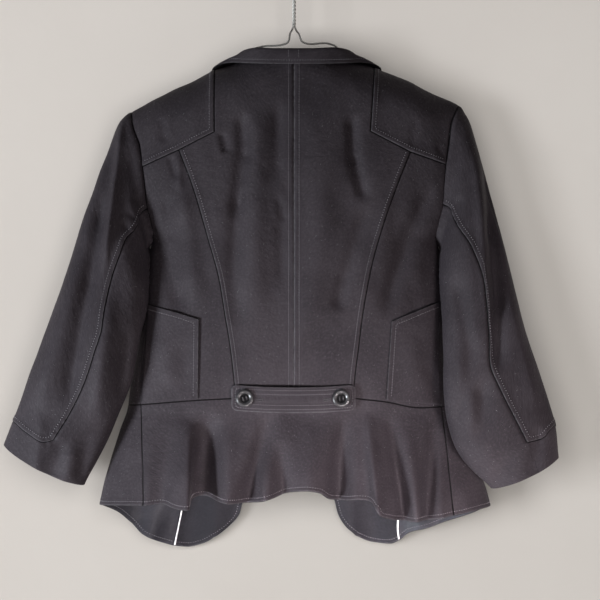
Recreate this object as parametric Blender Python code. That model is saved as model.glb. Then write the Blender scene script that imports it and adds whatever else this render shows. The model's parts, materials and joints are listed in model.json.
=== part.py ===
# Short fitted jacket with a flared peplum, hung on a wire hanger.
# The back faces -Y, the wearer's right is +X and the hook's bearing point is the origin.
# Every panel is a thin wall laid out on the garment's own surface:
# a place on it is (turn, down), where turn is the angle round the body
# (0 centre back, -90 left side, 90 right side, 180 centre front) and down is
# the drop below the hook in millimetres.
import bpy
import bmesh
import math
import numpy as np

# ------------------------------------------------------------ sizes, in mm
MM = 0.001
WALL = 1.5            # shell cloth with its fusing
PATCH_WALL = 1.2      # pieces laid on the shell
LINING_WALL = 1.0
PIPE_R = 1.05
SEAM_GAP = 0.34       # between neighbouring pieces
SLEEVE_GAP = 1.2      # round the armhole, where the walls turn sharply
LIFT = 0.4            # between a panel and what lies on it
PATCH_LIFT = 0.9      # a patch is stiff and bridges the panel's small bends
SHOULDER_ROLL = 45.0  # how far the cloth rolls over the shoulder
SIDE_POWER = 2.6      # flatness of the back across the body
WIRE_R = 1.2
HOOK_R = 18.0
NECK_TOP = 46.0       # where the hook's wire enters the twist
NECK_LOW = 93.6       # where the arms leave the twist
BUTTON_R = 10.5
BUTTON_H = 3.4
TAB_HALF = 73.8
TAB_HEIGHT = 30.6
TAB_STAND = 3.4       # how proud the tab stands off the waist
OVERLAP = 14.0        # right front laps over left

# segments along each edge; neighbours share the same samples
N = dict(shoulder_outer=7, shoulder_inner=2, neck=4, yoke_side=4, yoke_low_in=2, yoke_low_out=5,
         arm_mid=3, arm_low=3, side=6, rows=12, peplum=8, sleeve=11, cuff=2)

# ------------------------------------------------------------ tables
# the body's section at each height
TORSO = [  # down, half_left, half_right, back_depth, front_depth
    (95.0, 222.0, 222.0, 30.0, 28.0),
    (144.0, 220.0, 220.0, 35.0, 32.0),
    (195.6, 216.0, 216.0, 41.0, 38.0),
    (213.6, 214.0, 211.0, 42.0, 40.0),
    (235.2, 209.0, 209.0, 43.0, 42.0),
    (260.4, 203.0, 204.0, 45.0, 44.0),
    (285.6, 196.0, 199.0, 46.0, 46.0),
    (312.0, 190.0, 193.0, 46.0, 47.0),
    (330.0, 182.0, 184.0, 46.0, 47.5),
    (350.4, 172.0, 173.0, 46.0, 48.0),
    (366.0, 175.0, 175.5, 46.0, 48.0),
    (384.0, 176.8, 176.8, 46.0, 48.0),
    (422.4, 181.5, 180.5, 46.0, 47.0),
    (482.4, 190.0, 184.5, 44.0, 44.5),
    (520.8, 196.5, 188.5, 42.0, 43.0),
    (547.2, 200.0, 192.0, 41.0, 42.5),
    (555.6, 201.5, 194.0, 41.0, 43.0),
    (578.4, 210.0, 205.0, 45.0, 47.0),
    (610.8, 220.0, 217.0, 52.0, 54.0),
    (652.8, 232.0, 233.0, 60.0, 62.0),
    (672.0, 235.5, 236.5, 63.0, 66.0),
    (735.0, 240.0, 240.0, 69.0, 72.0),
]
SHOULDER_LINE = [  # x, down
    (-240.0, 223.0), (-196.2, 195.6), (-182.4, 187.2), (-154.8, 172.8), (-123.6, 158.4), (-96.0, 144.2),
    (-66.0, 134.0), (0.0, 104.0), (66.0, 132.5), (97.0, 141.4), (136.8, 157.6), (168.0, 172.8),
    (198.6, 188.0), (240.0, 212.0),
]
ARMHOLE = [  # left_x, left_down, right_x, right_down; the rest curves to the underarm
    (-196.2, 195.6, 198.6, 188.0),
    (-193.7, 213.6, 189.6, 208.8),
    (-186.0, 235.2, 186.0, 234.0),
    (-181.9, 260.4, 182.4, 260.0),
    (-179.4, 285.6, 180.5, 285.0),
    (-176.9, 312.0, 180.0, 307.2),
]
UNDERARM = 350.4
PRINCESS = [  # left_x, left_down, right_x, right_down
    (-137.3, 243.0, 139.0, 245.4),
    (-121.6, 284.4, 121.0, 291.0),
    (-103.9, 343.2, 106.4, 332.4),
    (-90.0, 392.4, 92.4, 381.6),
    (-81.1, 445.2, 80.9, 445.2),
    (-76.9, 470.0, 77.8, 470.4),
    (-70.8, 520.8, 71.6, 522.0),
    (-69.2, 539.6, 70.3, 539.4),
]
YOKE_LOW = [  # left_x, left_down, right_x, right_down; inner corner, princess seam, armhole
    (-95.2, 222.0, 91.4, 221.4),
    (-137.3, 243.0, 139.0, 245.4),
    (-181.9, 262.5, 182.4, 260.0),
]
SIDE_SEAM = [  # left_x, left_down, right_x, right_down, from the underarm to the waist
    (-174.5, 422.4, 174.4, 422.4),
    (-181.5, 482.4, 177.0, 482.4),
    (-187.0, 520.8, 181.0, 520.8),
    (-183.6, 548.0, 177.0, 550.4),
]
WAIST = [  # left_x, left_down, right_x, right_down, from the centre to the side seam
    (0.0, 538.8, 0.0, 538.8),
    (-69.2, 539.6, 70.3, 539.4),
    (-114.0, 541.9, 112.8, 544.4),
    (-141.6, 544.1, 146.4, 551.0),
    (-183.6, 548.0, 177.0, 550.4),
]
HEM = [  # x, down, back peplum from the left seam to the right
    (-179.0, 667.0), (-151.2, 665.6), (-140.8, 669.8), (-128.8, 669.8), (-120.6, 662.4), (-106.3, 657.4),
    (-92.1, 661.1), (-61.9, 663.4), (-30.6, 658.7), (-2.3, 649.8), (20.2, 648.0), (32.0, 650.5),
    (42.5, 658.4), (57.2, 660.7), (78.1, 658.8), (94.7, 662.3), (103.5, 676.0), (114.4, 681.2),
    (136.0, 685.2), (163.6, 683.1), (190.2, 679.0),
]
PEPLUM_SEAM = [  # left_x, left_down, right_x, right_down
    (-183.6, 548.0, 177.0, 550.4),
    (-182.0, 590.0, 180.5, 580.0),
    (-179.0, 667.0, 190.2, 679.0),
]
FRONT_HEM = [  # left_turn, left_down, right_turn, right_down, from the side seam round to the rounded corner
    (-74.0, 669.0, 76.0, 672.0),
    (-97.0, 671.0, 97.0, 672.0),
    (-112.9, 680.2, 115.0, 684.0),
    (-122.3, 695.1, 128.1, 694.6),
    (-129.1, 711.2, 136.6, 703.3),
    (-135.6, 720.0, 142.1, 708.0),
    (-146.9, 728.4, 150.0, 724.3),
    (-151.6, 724.4, 155.5, 723.4),
]
FRONT_EDGE = [  # left_x, left_down, right_x, right_down, from the rounded corner up to the waist
    (-96.9, 714.9, 76.6, 714.9),
    (-79.6, 700.7, 64.2, 702.5),
    (-68.4, 688.9, 55.5, 688.9),
    (-64.2, 674.5, 50.2, 671.0),
    (-56.0, 648.0, 42.0, 645.0),
    (-40.0, 613.0, 26.0, 610.0),
    (-16.0, 575.0, 6.0, 575.0),
    (12.0, 546.0, -14.0, 546.0),
]
ROLL_LINE = [  # reach across the centre, down, from the neck point to the break
    (66.0, 133.0), (50.0, 172.0), (28.0, 240.0), (4.0, 300.0), (-12.0, 336.0),
]
BACK_FOLDS = [  # x1, down1, x2, down2, width, height: troughs are negative
    (-63.6, 190.0, -68.4, 440.0, 13.0, -4.5),
    (-18.0, 180.0, -18.0, 340.0, 10.0, -3.0),
    (69.6, 200.0, 81.6, 300.0, 12.0, -3.5),
    (159.6, 290.0, 120.0, 435.0, 13.0, -5.0),
    (-152.0, 365.0, -132.0, 430.0, 12.0, -4.5),
    (-45.6, 215.0, -45.6, 425.0, 12.0, 3.5),
    (-134.0, 260.0, -118.0, 415.0, 12.0, 4.0),
    (31.2, 185.0, 31.2, 365.0, 24.0, 3.5),
]
PEPLUM_FOLDS = [  # x1, down1, x2, down2, width, height: growing from the waist to the hem
    (-112.0, 562.0, -110.0, 672.0, 13.0, -27.0),
    (-128.0, 575.0, -140.0, 680.0, 13.0, 15.0),
    (-166.0, 580.0, -172.0, 680.0, 15.0, -6.0),
    (-82.0, 580.0, -80.0, 672.0, 13.0, 12.0),
    (-28.0, 556.0, -52.0, 665.0, 14.0, -12.0),
    (-9.6, 575.0, -3.0, 660.0, 13.0, -13.0),
    (26.0, 575.0, 24.0, 660.0, 14.0, 9.0),
    (58.8, 562.0, 53.0, 665.0, 12.0, -17.0),
    (92.0, 575.0, 96.0, 675.0, 12.0, 13.0),
    (115.0, 560.0, 137.0, 690.0, 11.0, -10.0),
    (135.0, 575.0, 152.0, 690.0, 13.0, 9.0),
]
FRONT_PEPLUM_FOLDS = [  # x1, down1, x2, down2, width, height
    (-150.0, 570.0, -175.0, 700.0, 16.0, -9.0),
    (-120.0, 570.0, -130.0, 720.0, 20.0, 8.0),
    (130.0, 570.0, 158.0, 700.0, 16.0, -9.0),
    (90.0, 570.0, 100.0, 720.0, 20.0, 8.0),
]
# sleeve sections: the outer edge, the inner edge, half its thickness and how far
# behind the hanger's plane its middle hangs
SLEEVE_LEFT = [  # outer_x, outer_down, inner_x, inner_down, half_thick, middle_y
    (-196.2, 195.6, -172.0, 350.4, 20.0, 0.0),
    (-209.6, 208.0, -177.8, 358.5, 25.0, -3.0),
    (-220.4, 231.5, -175.8, 370.0, 29.0, -8.0),
    (-234.0, 267.0, -175.8, 387.0, 31.0, -14.0),
    (-247.2, 310.8, -176.2, 406.8, 32.0, -21.0),
    (-263.0, 361.2, -177.4, 428.4, 32.5, -24.0),
    (-278.2, 408.0, -181.8, 453.6, 32.5, -28.0),
    (-293.8, 451.2, -186.4, 484.8, 32.5, -30.5),
    (-309.6, 494.4, -193.6, 520.8, 32.0, -31.0),
    (-325.0, 536.4, -210.8, 561.6, 31.0, -26.0),
    (-336.4, 566.4, -227.8, 598.8, 30.0, -24.0),
    (-347.6, 595.2, -250.6, 643.4, 29.0, -22.0),
]
SLEEVE_RIGHT = [  # outer_x, outer_down, inner_x, inner_down, half_thick, middle_y
    (198.6, 188.0, 173.0, 350.4, 20.0, 0.0),
    (211.0, 206.0, 178.5, 359.0, 25.0, -3.0),
    (220.0, 236.4, 177.5, 371.0, 29.0, -8.0),
    (231.2, 278.4, 177.0, 387.0, 31.0, -15.0),
    (242.6, 321.6, 177.0, 408.0, 32.0, -22.0),
    (255.0, 372.0, 177.2, 430.0, 32.0, -26.0),
    (267.6, 427.2, 177.6, 458.4, 32.0, -31.0),
    (280.0, 474.0, 178.0, 489.6, 31.5, -36.0),
    (292.4, 512.4, 178.0, 527.0, 31.0, -40.0),
    (303.0, 544.8, 183.0, 569.0, 30.5, -43.0),
    (310.6, 573.0, 198.0, 608.0, 30.0, -45.0),
    (314.2, 609.0, 234.0, 645.4, 29.0, -46.0),
]
CUFF_DROP = (7.0, 5.0)   # how far the cuff's edge bows down between its corners, left and right
SLEEVE_SEAM_LEFT = [  # x, down, back seam from the armhole to the cuff's corner
    (-191.2, 339.6), (-200.5, 352.0), (-207.0, 369.6), (-215.5, 394.2), (-224.4, 432.0), (-227.5, 460.0),
    (-234.8, 486.0), (-254.4, 535.2), (-264.4, 554.4), (-284.5, 588.0),
]
SLEEVE_SEAM_RIGHT = [  # x, down
    (196.8, 336.0), (211.2, 362.4), (223.0, 394.8), (227.6, 422.4), (229.5, 460.0), (232.5, 502.8),
    (242.4, 524.4), (259.2, 561.6), (275.0, 590.0),
]
SLEEVE_HEM = [  # left_x, left_down, right_x, right_down: the upper sleeve's lower seam, from the corner out
    (-284.5, 588.0, 275.0, 590.0),
    (-301.2, 590.0, 289.9, 586.8),
    (-318.4, 579.6, 301.7, 577.0),
    (-335.0, 566.6, 313.5, 567.5),
]
SLEEVE_FOLDS = [  # side, x1, down1, x2, down2, width, height
    (-1, -208.0, 222.0, -225.0, 372.0, 9.0, 4.0),
    (-1, -236.0, 350.0, -262.0, 520.0, 12.0, -5.0),
    (1, 222.0, 260.0, 232.0, 470.0, 11.0, -6.0),
    (1, 196.0, 410.0, 214.0, 490.0, 10.0, -3.5),
]
COLLAR = [  # fold_x, fold_y, fold_down, edge_x, edge_down, edge_face (-1 back, 1 front), edge_lift
    (0.0, -37.5, 123.2, 0.0, 141.6, -1, 4.0),
    (28.0, -36.5, 122.6, 34.0, 140.8, -1, 4.0),
    (48.0, -31.0, 121.8, 60.0, 138.8, -1, 5.0),
    (61.0, -20.0, 123.8, 80.0, 137.0, -1, 9.0),
    (68.0, -8.0, 127.2, 94.0, 139.6, -1, 7.0),
    (70.0, 6.0, 129.0, 100.0, 144.6, 1, 7.0),
    (68.0, 19.0, 137.0, 103.0, 158.5, 1, 4.0),
    (62.0, 30.0, 151.0, 100.0, 178.0, 1, 3.6),
    (56.0, 38.5, 166.0, 92.0, 196.0, 1, 3.6),
]
COLLAR_LEAN = 6.0     # the right half sits a little wider
COLLAR_NECK = [  # x, down on the fronts, going on from the neck point to the collar's end
    (66.0, 134.5), (61.0, 143.0), (57.0, 153.0), (52.5, 164.0),
]
LAPEL = [  # roll_x, roll_down, edge_x, edge_down
    (50.5, 172.0, 90.0, 203.0),
    (44.0, 190.0, 110.0, 226.0),
    (34.0, 222.0, 100.0, 252.0),
    (18.0, 264.0, 72.0, 286.0),
    (4.0, 300.0, 32.0, 316.0),
    (-9.0, 330.0, -2.0, 336.0),
]
LAPEL_UNDER_END = (2.0, 306.0, 12.0, 322.0)   # the lapel that is lapped over stops here
PATCH = [  # left_x, left_down, right_x, right_down: outer top, inner top, inner low, outer low
    (-174.0, 427.5, 173.0, 424.5),
    (-112.8, 445.2, 115.6, 447.6),
    (-114.0, 539.6, 109.7, 541.6),
    (-181.5, 545.4, 176.0, 548.6),
]
PIPING = [  # left_x, left_down, right_x, right_down: where the piping meets the hem
    (-149.5, 726.3, 130.6, 719.5),
]
PIPE_COLUMN = 11      # the piping runs down this column of the front peplum
CLOTH_COLOUR = (0.020, 0.019, 0.022, 1.0)
LINING_COLOUR = (0.028, 0.028, 0.034, 1.0)
PIPING_COLOUR = (0.78, 0.78, 0.76, 1.0)
BUTTON_COLOUR = (0.012, 0.012, 0.013, 1.0)
WIRE_COLOUR = (0.80, 0.79, 0.75, 1.0)


# ------------------------------------------------------------ curves
def column(rows, i):
    return np.array([r[i] for r in rows], dtype=float)


def smooth(xs, ys, x):
    """Monotone cubic through a table's rows."""
    xs, ys, x = np.asarray(xs, float), np.asarray(ys, float), np.asarray(x, float)
    h = np.diff(xs)
    s = np.diff(ys) / h
    m = np.zeros(len(xs))
    m[0], m[-1] = s[0], s[-1]
    for i in range(1, len(xs) - 1):
        if s[i - 1] * s[i] > 0:
            w1, w2 = 2 * h[i] + h[i - 1], h[i] + 2 * h[i - 1]
            m[i] = (w1 + w2) / (w1 / s[i - 1] + w2 / s[i])
    xc = np.clip(x, xs[0], xs[-1])
    k = np.clip(np.searchsorted(xs, xc, side='right') - 1, 0, len(xs) - 2)
    t = (xc - xs[k]) / h[k]
    return ((2 * t ** 3 - 3 * t ** 2 + 1) * ys[k] + (t ** 3 - 2 * t ** 2 + t) * h[k] * m[k]
            + (-2 * t ** 3 + 3 * t ** 2) * ys[k + 1] + (t ** 3 - t ** 2) * h[k] * m[k + 1])


def along(points, n, dense=1.0):
    """n segments along a smooth curve through points; dense > 1 packs them at the start."""
    p = np.array(points, dtype=float)
    if len(p) == 2:
        s = np.linspace(0, 1, n + 1) ** dense
        return p[0] + (p[1] - p[0]) * s[:, None]
    chord = np.concatenate([[0], np.cumsum(np.linalg.norm(np.diff(p, axis=0), axis=1))])
    m = np.gradient(p, chord, axis=0)
    s = (np.linspace(0, 1, n + 1) ** dense) * chord[-1]
    k = np.clip(np.searchsorted(chord, s, side='right') - 1, 0, len(p) - 2)
    h = (chord[k + 1] - chord[k])[:, None]
    t = ((s - chord[k]) / (chord[k + 1] - chord[k]))[:, None]
    return ((2 * t ** 3 - 3 * t ** 2 + 1) * p[k] + (t ** 3 - 2 * t ** 2 + t) * h * m[k]
            + (-2 * t ** 3 + 3 * t ** 2) * p[k + 1] + (t ** 3 - t ** 2) * h * m[k + 1])


def pick(rows, side):
    i = 0 if side < 0 else 2
    return [(r[i], r[i + 1]) for r in rows]


def fold_height(folds, x, down, grows):
    total = np.zeros(np.shape(x))
    for x1, d1, x2, d2, width, height in folds:
        ax, ad = x2 - x1, d2 - d1
        length = math.hypot(ax, ad)
        f = ((x - x1) * ax + (down - d1) * ad) / length ** 2
        off = np.abs((x - x1) * ad - (down - d1) * ax) / length
        if grows:
            f2 = np.clip(f, 0, 1)
            end = f2 ** 1.3
        else:
            f2 = np.clip(f, -0.15, 1.15)
            end = np.clip((f2 + 0.15) / 0.35, 0, 1) * np.clip((1.15 - f2) / 0.35, 0, 1)
            end = end * end * (3 - 2 * end)
        total = total + height * end * np.exp(-(off / width) ** 2)
    return total


# ------------------------------------------------------------ the body's surface
def half_width(down, side):
    return smooth(column(TORSO, 0), column(TORSO, 1 if side < 0 else 2), down)


def shoulder(x):
    return smooth(column(SHOULDER_LINE, 0), column(SHOULDER_LINE, 1), x)


def torso(turn, down, out=0.0):
    """The body's outer surface, moved out by a little for what lies on it."""
    turn, down = np.asarray(turn, float), np.asarray(down, float)
    sn = np.sin(np.radians(turn))
    left = half_width(down, -1)
    right = half_width(down, 1)
    blend = np.clip(0.5 + sn * 4.0, 0, 1)
    half = left + (right - left) * blend
    x = half * sn
    flat = np.sqrt(np.clip(1 - np.abs(sn) ** SIDE_POWER, 0, 1))
    t = np.clip((down - shoulder(x)) / SHOULDER_ROLL, 0, 1)
    roll = np.sqrt(1 - (1 - t) ** 2)
    is_back = np.abs(turn) <= 90
    back = smooth(column(TORSO, 0), column(TORSO, 3), down)
    front = smooth(column(TORSO, 0), column(TORSO, 4), down)
    body = np.clip((560 - down) / 20, 0, 1)
    fb = fold_height(BACK_FOLDS, x, down, False) * body * roll \
        + fold_height(PEPLUM_FOLDS, x, down, True) * np.clip((down - 552) / 40, 0, 1)
    ff = fold_height(FRONT_PEPLUM_FOLDS, x, down, True) * np.clip((down - 552) / 40, 0, 1)
    depth = np.where(is_back, -(back * flat * roll + fb * flat), front * flat * roll + ff * flat)
    return np.stack([x, depth, -down], axis=-1)


def to_turn(points, side=0, face=-1):
    """(x, down) to (turn, down); face -1 is the back and 1 the front."""
    out = []
    for x, down in points:
        s = int(x > 0) - int(x < 0)
        half = float(half_width(down, s if s else 1))
        a = math.degrees(math.asin(max(-1.0, min(1.0, x / half))))
        out.append((a, down) if face < 0 else (side * 180 - a, down))
    return np.array(out, dtype=float)


# ------------------------------------------------------------ panels
def coons(top, bottom, left, right):
    """A four-sided grid from its edges: rows run from top to bottom, columns left to right."""
    top, bottom, left, right = (np.asarray(c, float) for c in (top, bottom, left, right))
    nu, nv = len(top) - 1, len(left) - 1
    u = np.linspace(0, 1, nu + 1)[None, :, None]
    v = np.linspace(0, 1, nv + 1)[:, None, None]
    # keep each edge's own spacing inside the patch
    g = (1 - v) * top[None] + v * bottom[None] + (1 - u) * left[:, None] + u * right[:, None] \
        - ((1 - u) * (1 - v) * top[0] + u * (1 - v) * top[-1] + (1 - u) * v * bottom[0] + u * v * bottom[-1])
    return g


class Cloth:
    """A sheet of joined grids; all sheets share seam directions before they get a thickness."""
    every = []

    def __init__(self, name, grids, outward, wall=WALL, sewn=True, inset=SEAM_GAP / 2, shade='cloth', group=None):
        self.name, self.wall, self.inset, self.shade = name, wall, inset, shade
        self.group = group or ('shell' if sewn else name)
        keys, self.p, self.tris, self.quads, self.ids = {}, [], [], [], []
        for g in grids:
            ids = np.zeros(g.shape[:2], int)
            for i in range(g.shape[0]):
                for j in range(g.shape[1]):
                    k = tuple(np.round(g[i, j], 3))
                    if k not in keys:
                        keys[k] = len(self.p)
                        self.p.append(g[i, j])
                    ids[i, j] = keys[k]
            self.ids.append(ids)
            for i in range(g.shape[0] - 1):
                for j in range(g.shape[1] - 1):
                    q = [ids[i, j], ids[i, j + 1], ids[i + 1, j + 1], ids[i + 1, j]]
                    if len(set(q)) < 3:
                        continue
                    self.quads.append(q)
        self.p = np.array(self.p)
        for a, b, c, d in self.quads:
            if len({a, b, c, d}) == 3:
                t = [v for i, v in enumerate((a, b, c, d)) if v != (a, b, c, d)[i - 1]]
                self.tris.append(t)
                continue
            if np.linalg.norm(self.p[a] - self.p[c]) <= np.linalg.norm(self.p[b] - self.p[d]):
                self.tris += [[a, b, c], [a, c, d]]
            else:
                self.tris += [[a, b, d], [b, c, d]]
        self.tris = np.array(self.tris)
        fn = self.face_normals()
        mid = self.p[self.tris].mean(axis=1)
        if np.sum(np.sum(fn * (mid - np.asarray(outward(mid))), axis=1)) < 0:
            self.tris = self.tris[:, ::-1]
            fn = -fn
        self.n = np.zeros_like(self.p)
        for c in range(3):
            np.add.at(self.n, self.tris[:, c], fn)
        self.n /= np.linalg.norm(self.n, axis=1)[:, None]
        Cloth.every.append(self)

    def face_normals(self):
        a, b, c = (self.p[self.tris[:, i]] for i in range(3))
        return np.cross(b - a, c - a)

    def border(self):
        seen = {}
        for t in self.tris:
            for i in range(3):
                a, b = int(t[i]), int(t[(i + 1) % 3])
                seen[(a, b)] = True
        return [(a, b) for (a, b) in seen if (b, a) not in seen]

    def solid(self):
        """Outer face, inner face and a rim, each border point drawn in by half a seam gap."""
        edges = self.border()
        pull = {}
        for a, b in edges:
            e = self.p[b] - self.p[a]
            e = e / np.linalg.norm(e)
            for v in (a, b):
                d = np.cross(self.n[v], e)
                d = d / np.linalg.norm(d)
                pull.setdefault(v, []).append(d)
        p = self.p.copy()
        for v, ds in pull.items():
            d = np.sum(ds, axis=0)
            ln = np.linalg.norm(d)
            if ln < 1e-6:
                continue
            d = d / ln
            c = max(0.35, float(np.mean([np.dot(d, k) for k in ds])))
            p[v] = p[v] + d * (self.inset / c)
        m = len(p)
        q = p - self.n * self.wall
        faces = [list(t) for t in self.tris] + [[int(t[0]) + m, int(t[2]) + m, int(t[1]) + m] for t in self.tris]
        for a, b in edges:
            faces += [[a, a + m, b], [b, a + m, b + m]]
        return np.concatenate([p, q]), faces


def share_seams():
    """Where sheets of one group meet, they take one common direction."""
    groups = {}
    for c in Cloth.every:
        groups.setdefault(c.group, []).append(c)
    for sheets in groups.values():
        who, pts, nrm = [], [], []
        for c in sheets:
            for v in sorted({x for e in c.border() for x in e}):
                who.append((c, v))
                pts.append(c.p[v])
                nrm.append(c.n[v])
        pts, nrm = np.array(pts), np.array(nrm)
        for (c, v), q in zip(who, pts):
            near = np.sum((pts - q) ** 2, axis=1) < 1e-4
            total = nrm[near].sum(axis=0)
            if np.linalg.norm(total) > 0.3:
                c.n[v] = total / np.linalg.norm(total)


# ------------------------------------------------------------ edges, by name
def build_edges(side, n=N):
    """Every seam of one side as (turn, down) samples that both neighbours use."""
    e = {}
    arm = pick(ARMHOLE, side)
    low = pick(YOKE_LOW, side)
    neck_x = 66.0 * side
    yoke_top = (-96.0, 144.2) if side < 0 else (97.0, 141.4)
    tip = arm[0]
    xs = np.linspace(tip[0], yoke_top[0], n['shoulder_outer'] + 1)
    e['shoulder_outer'] = to_turn([(x, float(shoulder(x))) for x in xs])
    xs = np.linspace(yoke_top[0], neck_x, n['shoulder_inner'] + 1)
    e['shoulder_inner'] = to_turn([(x, float(shoulder(x))) for x in xs])
    a = np.linspace(0, 1, n['neck'] + 1) * math.pi / 2
    start = float(shoulder(neck_x))
    e['neck'] = to_turn([(neck_x * math.cos(t), start + (137.5 - start) * math.sin(t)) for t in a])
    e['yoke_inner'] = to_turn(along([yoke_top, low[0]], n['yoke_side'], 1.6))
    e['yoke_low_in'] = to_turn(along([low[0], low[1]], n['yoke_low_in']))
    e['yoke_low_out'] = to_turn(along([low[1], low[2]], n['yoke_low_out']))
    # armhole: tip, yoke corner, sleeve seam, underarm
    e['arm_top'] = to_turn(along(arm[:4][:-1] + [low[2]], n['yoke_side'], 1.5))
    e['arm_mid'] = to_turn(along([low[2], arm[4], arm[5]], n['arm_mid']))
    t0 = to_turn([arm[5]])[0]
    b = np.linspace(0, 1, n['arm_low'] + 1) * math.pi / 2
    e['arm_low'] = np.array([(side * 90 - (side * 90 - t0[0]) * math.cos(t),
                              t0[1] + (UNDERARM - t0[1]) * math.sin(t)) for t in b])
    e['arm_front'] = np.array([(side * 180 - t, d) for t, d in
                               np.concatenate([e['arm_top'], e['arm_mid'][1:], e['arm_low'][1:]])])
    e['princess'] = to_turn(along(pick(PRINCESS, side), n['rows']))
    e['princess'][0] = e['yoke_low_in'][-1]
    under = e['arm_low'][-1]
    seam = to_turn(pick(SIDE_SEAM, side))
    e['side'] = along([tuple(under)] + [tuple(s) for s in seam], n['side'])
    w = pick(WAIST, side)
    e['waist_in'] = to_turn(along([w[0], w[1]], n['shoulder_inner'] + n['neck']))
    e['waist_out'] = to_turn(along(w[1:], n['yoke_low_out']))
    e['princess'][-1] = e['waist_in'][-1]
    e['waist_out'][0] = e['waist_in'][-1]
    e['side'][-1] = e['waist_out'][-1]
    levels = np.concatenate([along([(0.0, 137.5), (0.0, 222.0)], n['yoke_side']),
                             along([(0.0, 222.0), (0.0, 252.0)], n['yoke_low_in'])[1:],
                             along([(0.0, 252.0), (0.0, 538.8)], n['rows'])[1:]])
    e['centre'] = levels
    # fronts
    roll = [(side * x, d) for x, d in ROLL_LINE]
    n_arm = len(e['arm_front']) - 1
    e['roll'] = to_turn(along(roll, n_arm, 1.15), side, 1)
    e['roll'][0] = (side * 180 - e['shoulder_inner'][-1][0], e['shoulder_inner'][-1][1])
    brk = e['roll'][-1]
    n_wide = n['shoulder_outer'] + n['shoulder_inner']
    e['chest'] = np.linspace(tuple(under), tuple(brk), n_wide + 1)
    edge_low = to_turn([(-12.0 * side if side < 0 else -14.0, 546.0)], side, 1)[0]
    if side < 0:
        edge_low = to_turn([(12.0, 546.0)], side, 1)[0]
    e['front_edge'] = np.linspace(tuple(brk), tuple(edge_low), n['side'] + 1)
    s0 = e['side'][-1]
    mids = [tuple(s0), (side * 90.0, 549.0), (side * 130.0, 548.0), tuple(edge_low)]
    e['waist_front'] = along(mids, n_wide)
    e['peplum_seam'] = to_turn(along(pick(PEPLUM_SEAM, side), n['peplum']))
    e['peplum_seam'][0] = s0
    return e


def halve(curve):
    """Twice the segments, keeping the samples."""
    out = [curve[0]]
    for a, b in zip(curve[:-1], curve[1:]):
        out += [(np.asarray(a) + np.asarray(b)) / 2, b]
    return np.array(out)


def straighten(grid):
    """Middle samples of a doubled top edge go onto the straight line between their neighbours."""
    grid[0, 1::2] = (grid[0, 0:-1:2] + grid[0, 2::2]) / 2
    return grid


def surf(grid, out=0.0):
    p = torso(grid[..., 0], grid[..., 1])
    if out:
        e = 0.4
        a = torso(grid[..., 0] + e, grid[..., 1]) - torso(grid[..., 0] - e, grid[..., 1])
        b = torso(grid[..., 0], grid[..., 1] + e) - torso(grid[..., 0], grid[..., 1] - e)
        nrm = np.cross(a, b)
        ln = np.linalg.norm(nrm, axis=-1)[..., None]
        nrm = nrm / np.where(ln < 1e-9, 1, ln)
        away = p * np.array([0.15, 1.0, 0.0])
        sign = np.sign(np.sum(nrm * away, axis=-1))[..., None]
        p = p + nrm * sign * out
    return p


def from_axis(mid):
    return np.stack([mid[:, 0] * 0.8, mid[:, 1] * 0, mid[:, 2]], axis=1)


E = {-1: build_edges(-1), 1: build_edges(1)}


# ------------------------------------------------------------ body panels
def cf_shift(p, side):
    """The right front laps over the left round the centre."""
    f = np.clip((34 - np.abs(p[..., 0])) / 18, 0, 1)
    f = f * f * (3 - 2 * f)
    p = p.copy()
    p[..., 1] += np.where(p[..., 1] > 0, (1.5 if side > 0 else -1.5) * f, 0)
    return p


def body_panels(n=N):
    for side, tag in ((-1, 'left'), (1, 'right')):
        e = E[side]
        ys, li, rw = n['yoke_side'], n['yoke_low_in'], n['rows']
        c0, c1, c2 = e['centre'][:ys + 1], e['centre'][ys:ys + li + 1], e['centre'][ys + li:]
        top = np.concatenate([e['shoulder_inner'], e['neck'][1:]])
        m = len(top) - 1
        level1 = np.linspace(e['yoke_inner'][-1], c0[-1], m + 1)
        level2 = np.linspace(e['yoke_low_in'][-1], c1[-1], m + 1)
        grids = [coons(top, level1, e['yoke_inner'], c0),
                 coons(level1, level2, e['yoke_low_in'], c1),
                 coons(level2, e['waist_in'][::-1], e['princess'], c2)]
        Cloth('back_center_' + tag, [surf(g) for g in grids], from_axis)
        low = np.concatenate([e['yoke_low_in'], e['yoke_low_out'][1:]])[::-1]
        Cloth('yoke_' + tag, [surf(coons(e['shoulder_outer'], low, e['arm_top'], e['yoke_inner']))], from_axis)
        outer = np.concatenate([e['arm_mid'], e['arm_low'][1:], e['side'][1:]])
        Cloth('back_side_' + tag,
              [surf(coons(e['yoke_low_out'][::-1], e['waist_out'][::-1], outer, e['princess']))], from_axis)
        sh = np.concatenate([e['shoulder_outer'], e['shoulder_inner'][1:]])
        sh = np.array([(side * 180 - t, d) for t, d in sh])
        g1 = coons(sh, e['chest'], e['arm_front'], e['roll'])
        g2 = coons(e['chest'], e['waist_front'], e['side'], e['front_edge'])
        Cloth('front_' + tag, [cf_shift(surf(g), side) for g in (g1, g2)], from_axis)


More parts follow.
